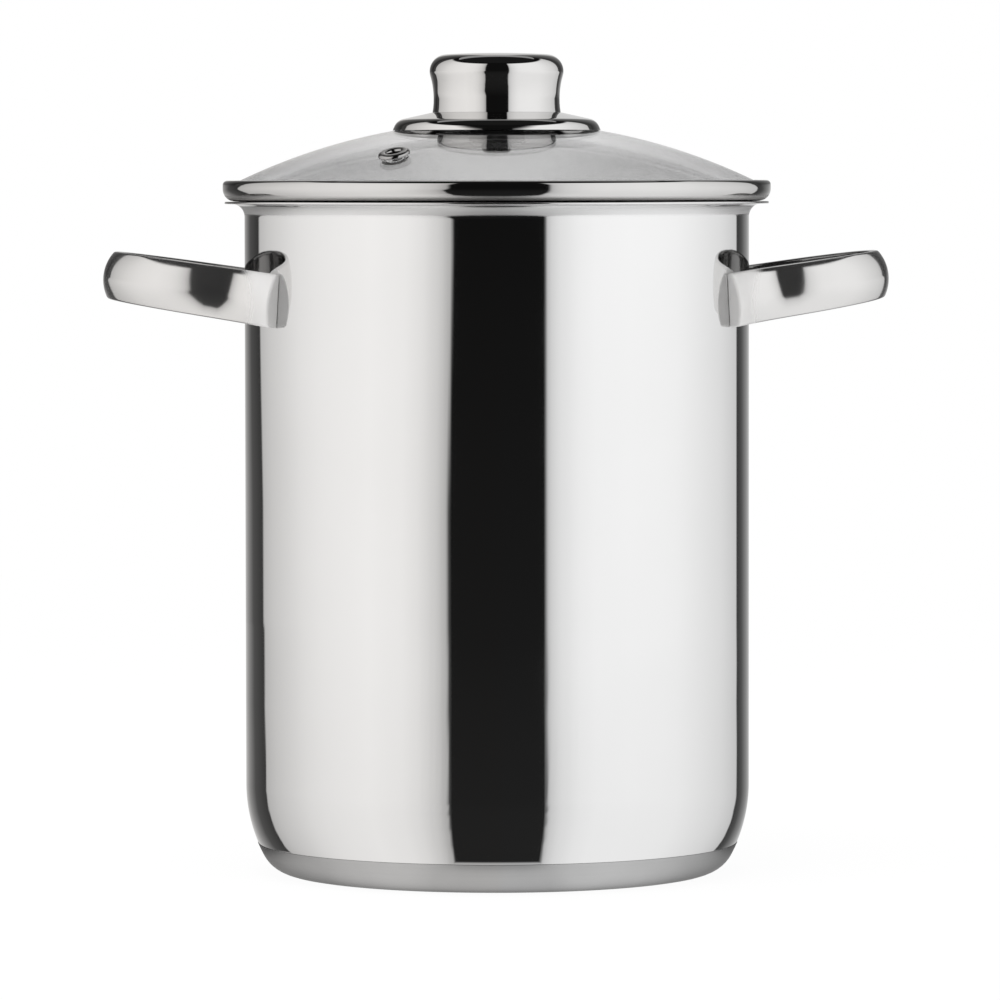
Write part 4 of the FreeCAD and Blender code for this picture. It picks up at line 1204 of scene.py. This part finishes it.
def card_wall_light(tree):
    """Upright cards: they end lower at the back, and are dimmer there where the knob shows them."""
    z = axes_of(tree, place_of(tree))[2]
    share, side = card_place(tree)
    front_shift = rescale(tree, z, *CARD_ZONE, 0.0, FRONT_SHIFT)
    back_shift = rescale(tree, z, *CARD_ZONE, 0.0, BACK_SHIFT)
    high = rescale(tree, z, *KNOB_ZONE, 0.0, 1.0)
    level = round_light(tree, share, side, front_shift, back_shift, times(tree, high, KNOB_SHIFT))
    top = rescale(tree, share, *BACK_START, BACK_TALL, TENT_TALL * TENT_OVER)
    fade = rescale(tree, calc(tree, "SUBTRACT", z, top), *TOP_FADE, 1.0, 0.0, smooth=True)
    dim_start = rescale(tree, share, *DIM_START, 1.0, KNOB_BACK)
    dim = calc(tree, "MAXIMUM", dim_start, rescale(tree, share, *DIM_END, KNOB_BACK, 1.0))
    rise = rescale(tree, z, 0.0, RISE, FOOT_LEVEL, RISE_LEVEL)
    gain = times(tree, fade, rise, blend_values(tree, high, 1.0, dim))
    return lit(tree, level, gain, rescale(tree, z, 0.0, RISE, FOOT_DARK, RISE_DARK))


def add_cards(name, rows, strength):
    """Cards laid along the looks that the round wall sends back, so that their edges run straight up it."""
    angles = [math.pi * (column / COLUMNS - 0.5) for column in range(COLUMNS + 1)]
    points = []
    shares = []
    for away, up in rows:
        for angle in angles:
            start, way = mirror_ray(angle)
            onward = front(way if away > 0 else angle)
            points.append(start + onward * away + Vector((0.0, 0.0, up)))
            shares.append((min(1.0, abs(way) / math.pi), 1.0 if way > 0 else 0.0))
    count = len(angles)
    faces = []
    for row in range(len(rows) - 1):
        for column in range(count):
            after = (column + 1) % count
            low = row * count
            faces.append((low + column, low + after, low + count + after, low + count + column))
    cards = studio_mesh(name, points, faces, glow_material(name, strength, card_tint))
    layer = cards.data.uv_layers.new(name="UVMap")
    for loop in cards.data.loops:
        layer.data[loop.index].uv = shares[loop.vertex_index]
    reflections_only(cards)


def ceiling_light(tree):
    """A dark ceiling, lit behind the pot."""
    y = axes_of(tree, place_of(tree))[1]
    patch = rescale(tree, y, *PATCH_START, 0.0, PATCH_LEVEL * SOFTBOX, smooth=True)
    return calc(tree, "ADD", patch, CEILING_DARK)


def add_tent():
    """The cards that the polished steel shows: floor, sides and a dark ceiling."""
    add_cards("card_floor", [(away, CARD_UP) for away in FLOOR_ROWS], card_floor_light)
    wall_rows = [(TENT_AWAY, TENT_TALL * step / WALL_ROWS) for step in range(WALL_ROWS + 1)]
    add_cards("card_wall", wall_rows, card_wall_light)
    glow = glow_material("card_ceiling", ceiling_light)
    reflections_only(studio_disc("card_ceiling", TENT_AWAY * TENT_OVER, TENT_TALL, CEILING_STEP, glow))


def seen_directly(tree):
    """One where it is seen straight, in a reflection or through glass, and nought for its light."""
    path = add_node(tree, "ShaderNodeLightPath").outputs
    seen = calc(tree, "MAXIMUM", path["Is Camera Ray"], path["Is Glossy Ray"])
    return calc(tree, "MAXIMUM", seen, path["Is Transmission Ray"])


def floor_material():
    """A pale floor that keeps the shadow near the pot and runs out to white."""
    material, tree = bare_material("floor")
    x, y = axes_of(tree, place_of(tree))[:2]
    far = rescale(tree, away_from_axis(tree, x, y), FLOOR_NEAR, FLOOR_FAR, 0.0, 1.0, smooth=True)
    matt = add_node(tree, "ShaderNodeBsdfDiffuse", {"Color": grey(FLOOR_TONE)})
    glow = add_node(tree, "ShaderNodeEmission", {"Color": grey(1.0), "Strength": 1.0})
    share = times(tree, seen_directly(tree), blend_values(tree, far, FLOOR_GLOW, 1.0))
    show(tree, add_node(tree, "ShaderNodeMixShader", {0: share, 1: matt.outputs[0], 2: glow.outputs[0]}))
    return material


def add_floor():
    """A round floor."""
    studio_disc("floor", FLOOR_RADIUS, 0.0, FLOOR_STEP, floor_material())


def add_daylight():
    """A plain pale room."""
    world = bpy.data.worlds.new("studio")
    bpy.context.scene.world = world
    world.use_nodes = True
    tree = world.node_tree
    background = tree.nodes["Background"]
    background.inputs["Color"].default_value = grey(1.0)
    tree.links.new(blend_values(tree, seen_directly(tree), DAYLIGHT, 1.0), background.inputs["Strength"])


def add_lamp():
    """One large soft lamp above."""
    lamp = bpy.data.lights.new("overhead", "AREA")
    lamp.shape = "DISK"
    lamp.size = LAMP_WIDE
    lamp.energy = LAMP_WATTS
    thing = add_object("overhead", lamp)
    thing.location = LAMP_PLACE
    thing.rotation_euler = (LAMP_AIM - thing.location).to_track_quat("-Z", "Y").to_euler()
    thing.visible_glossy = False
    thing.visible_transmission = False


def add_camera():
    """The photograph's view."""
    lens = bpy.data.cameras.new("camera")
    lens.lens = CAMERA_LENS
    lens.clip_start, lens.clip_end = CAMERA_CLIP
    camera = add_object("camera", lens)
    camera.location = front(0.0) * CAMERA_AWAY + Vector((0, 0, CAMERA_UP))
    look = (CAMERA_AIM - camera.location).to_track_quat("-Z", "Y")
    camera.rotation_mode = "QUATERNION"
    camera.rotation_quaternion = look @ Quaternion((0, 0, 1), CAMERA_ROLL)
    bpy.context.scene.camera = camera


add_tent()
add_floor()
add_daylight()
add_lamp()
add_camera()
bpy.context.scene.view_settings.view_transform = "Standard"
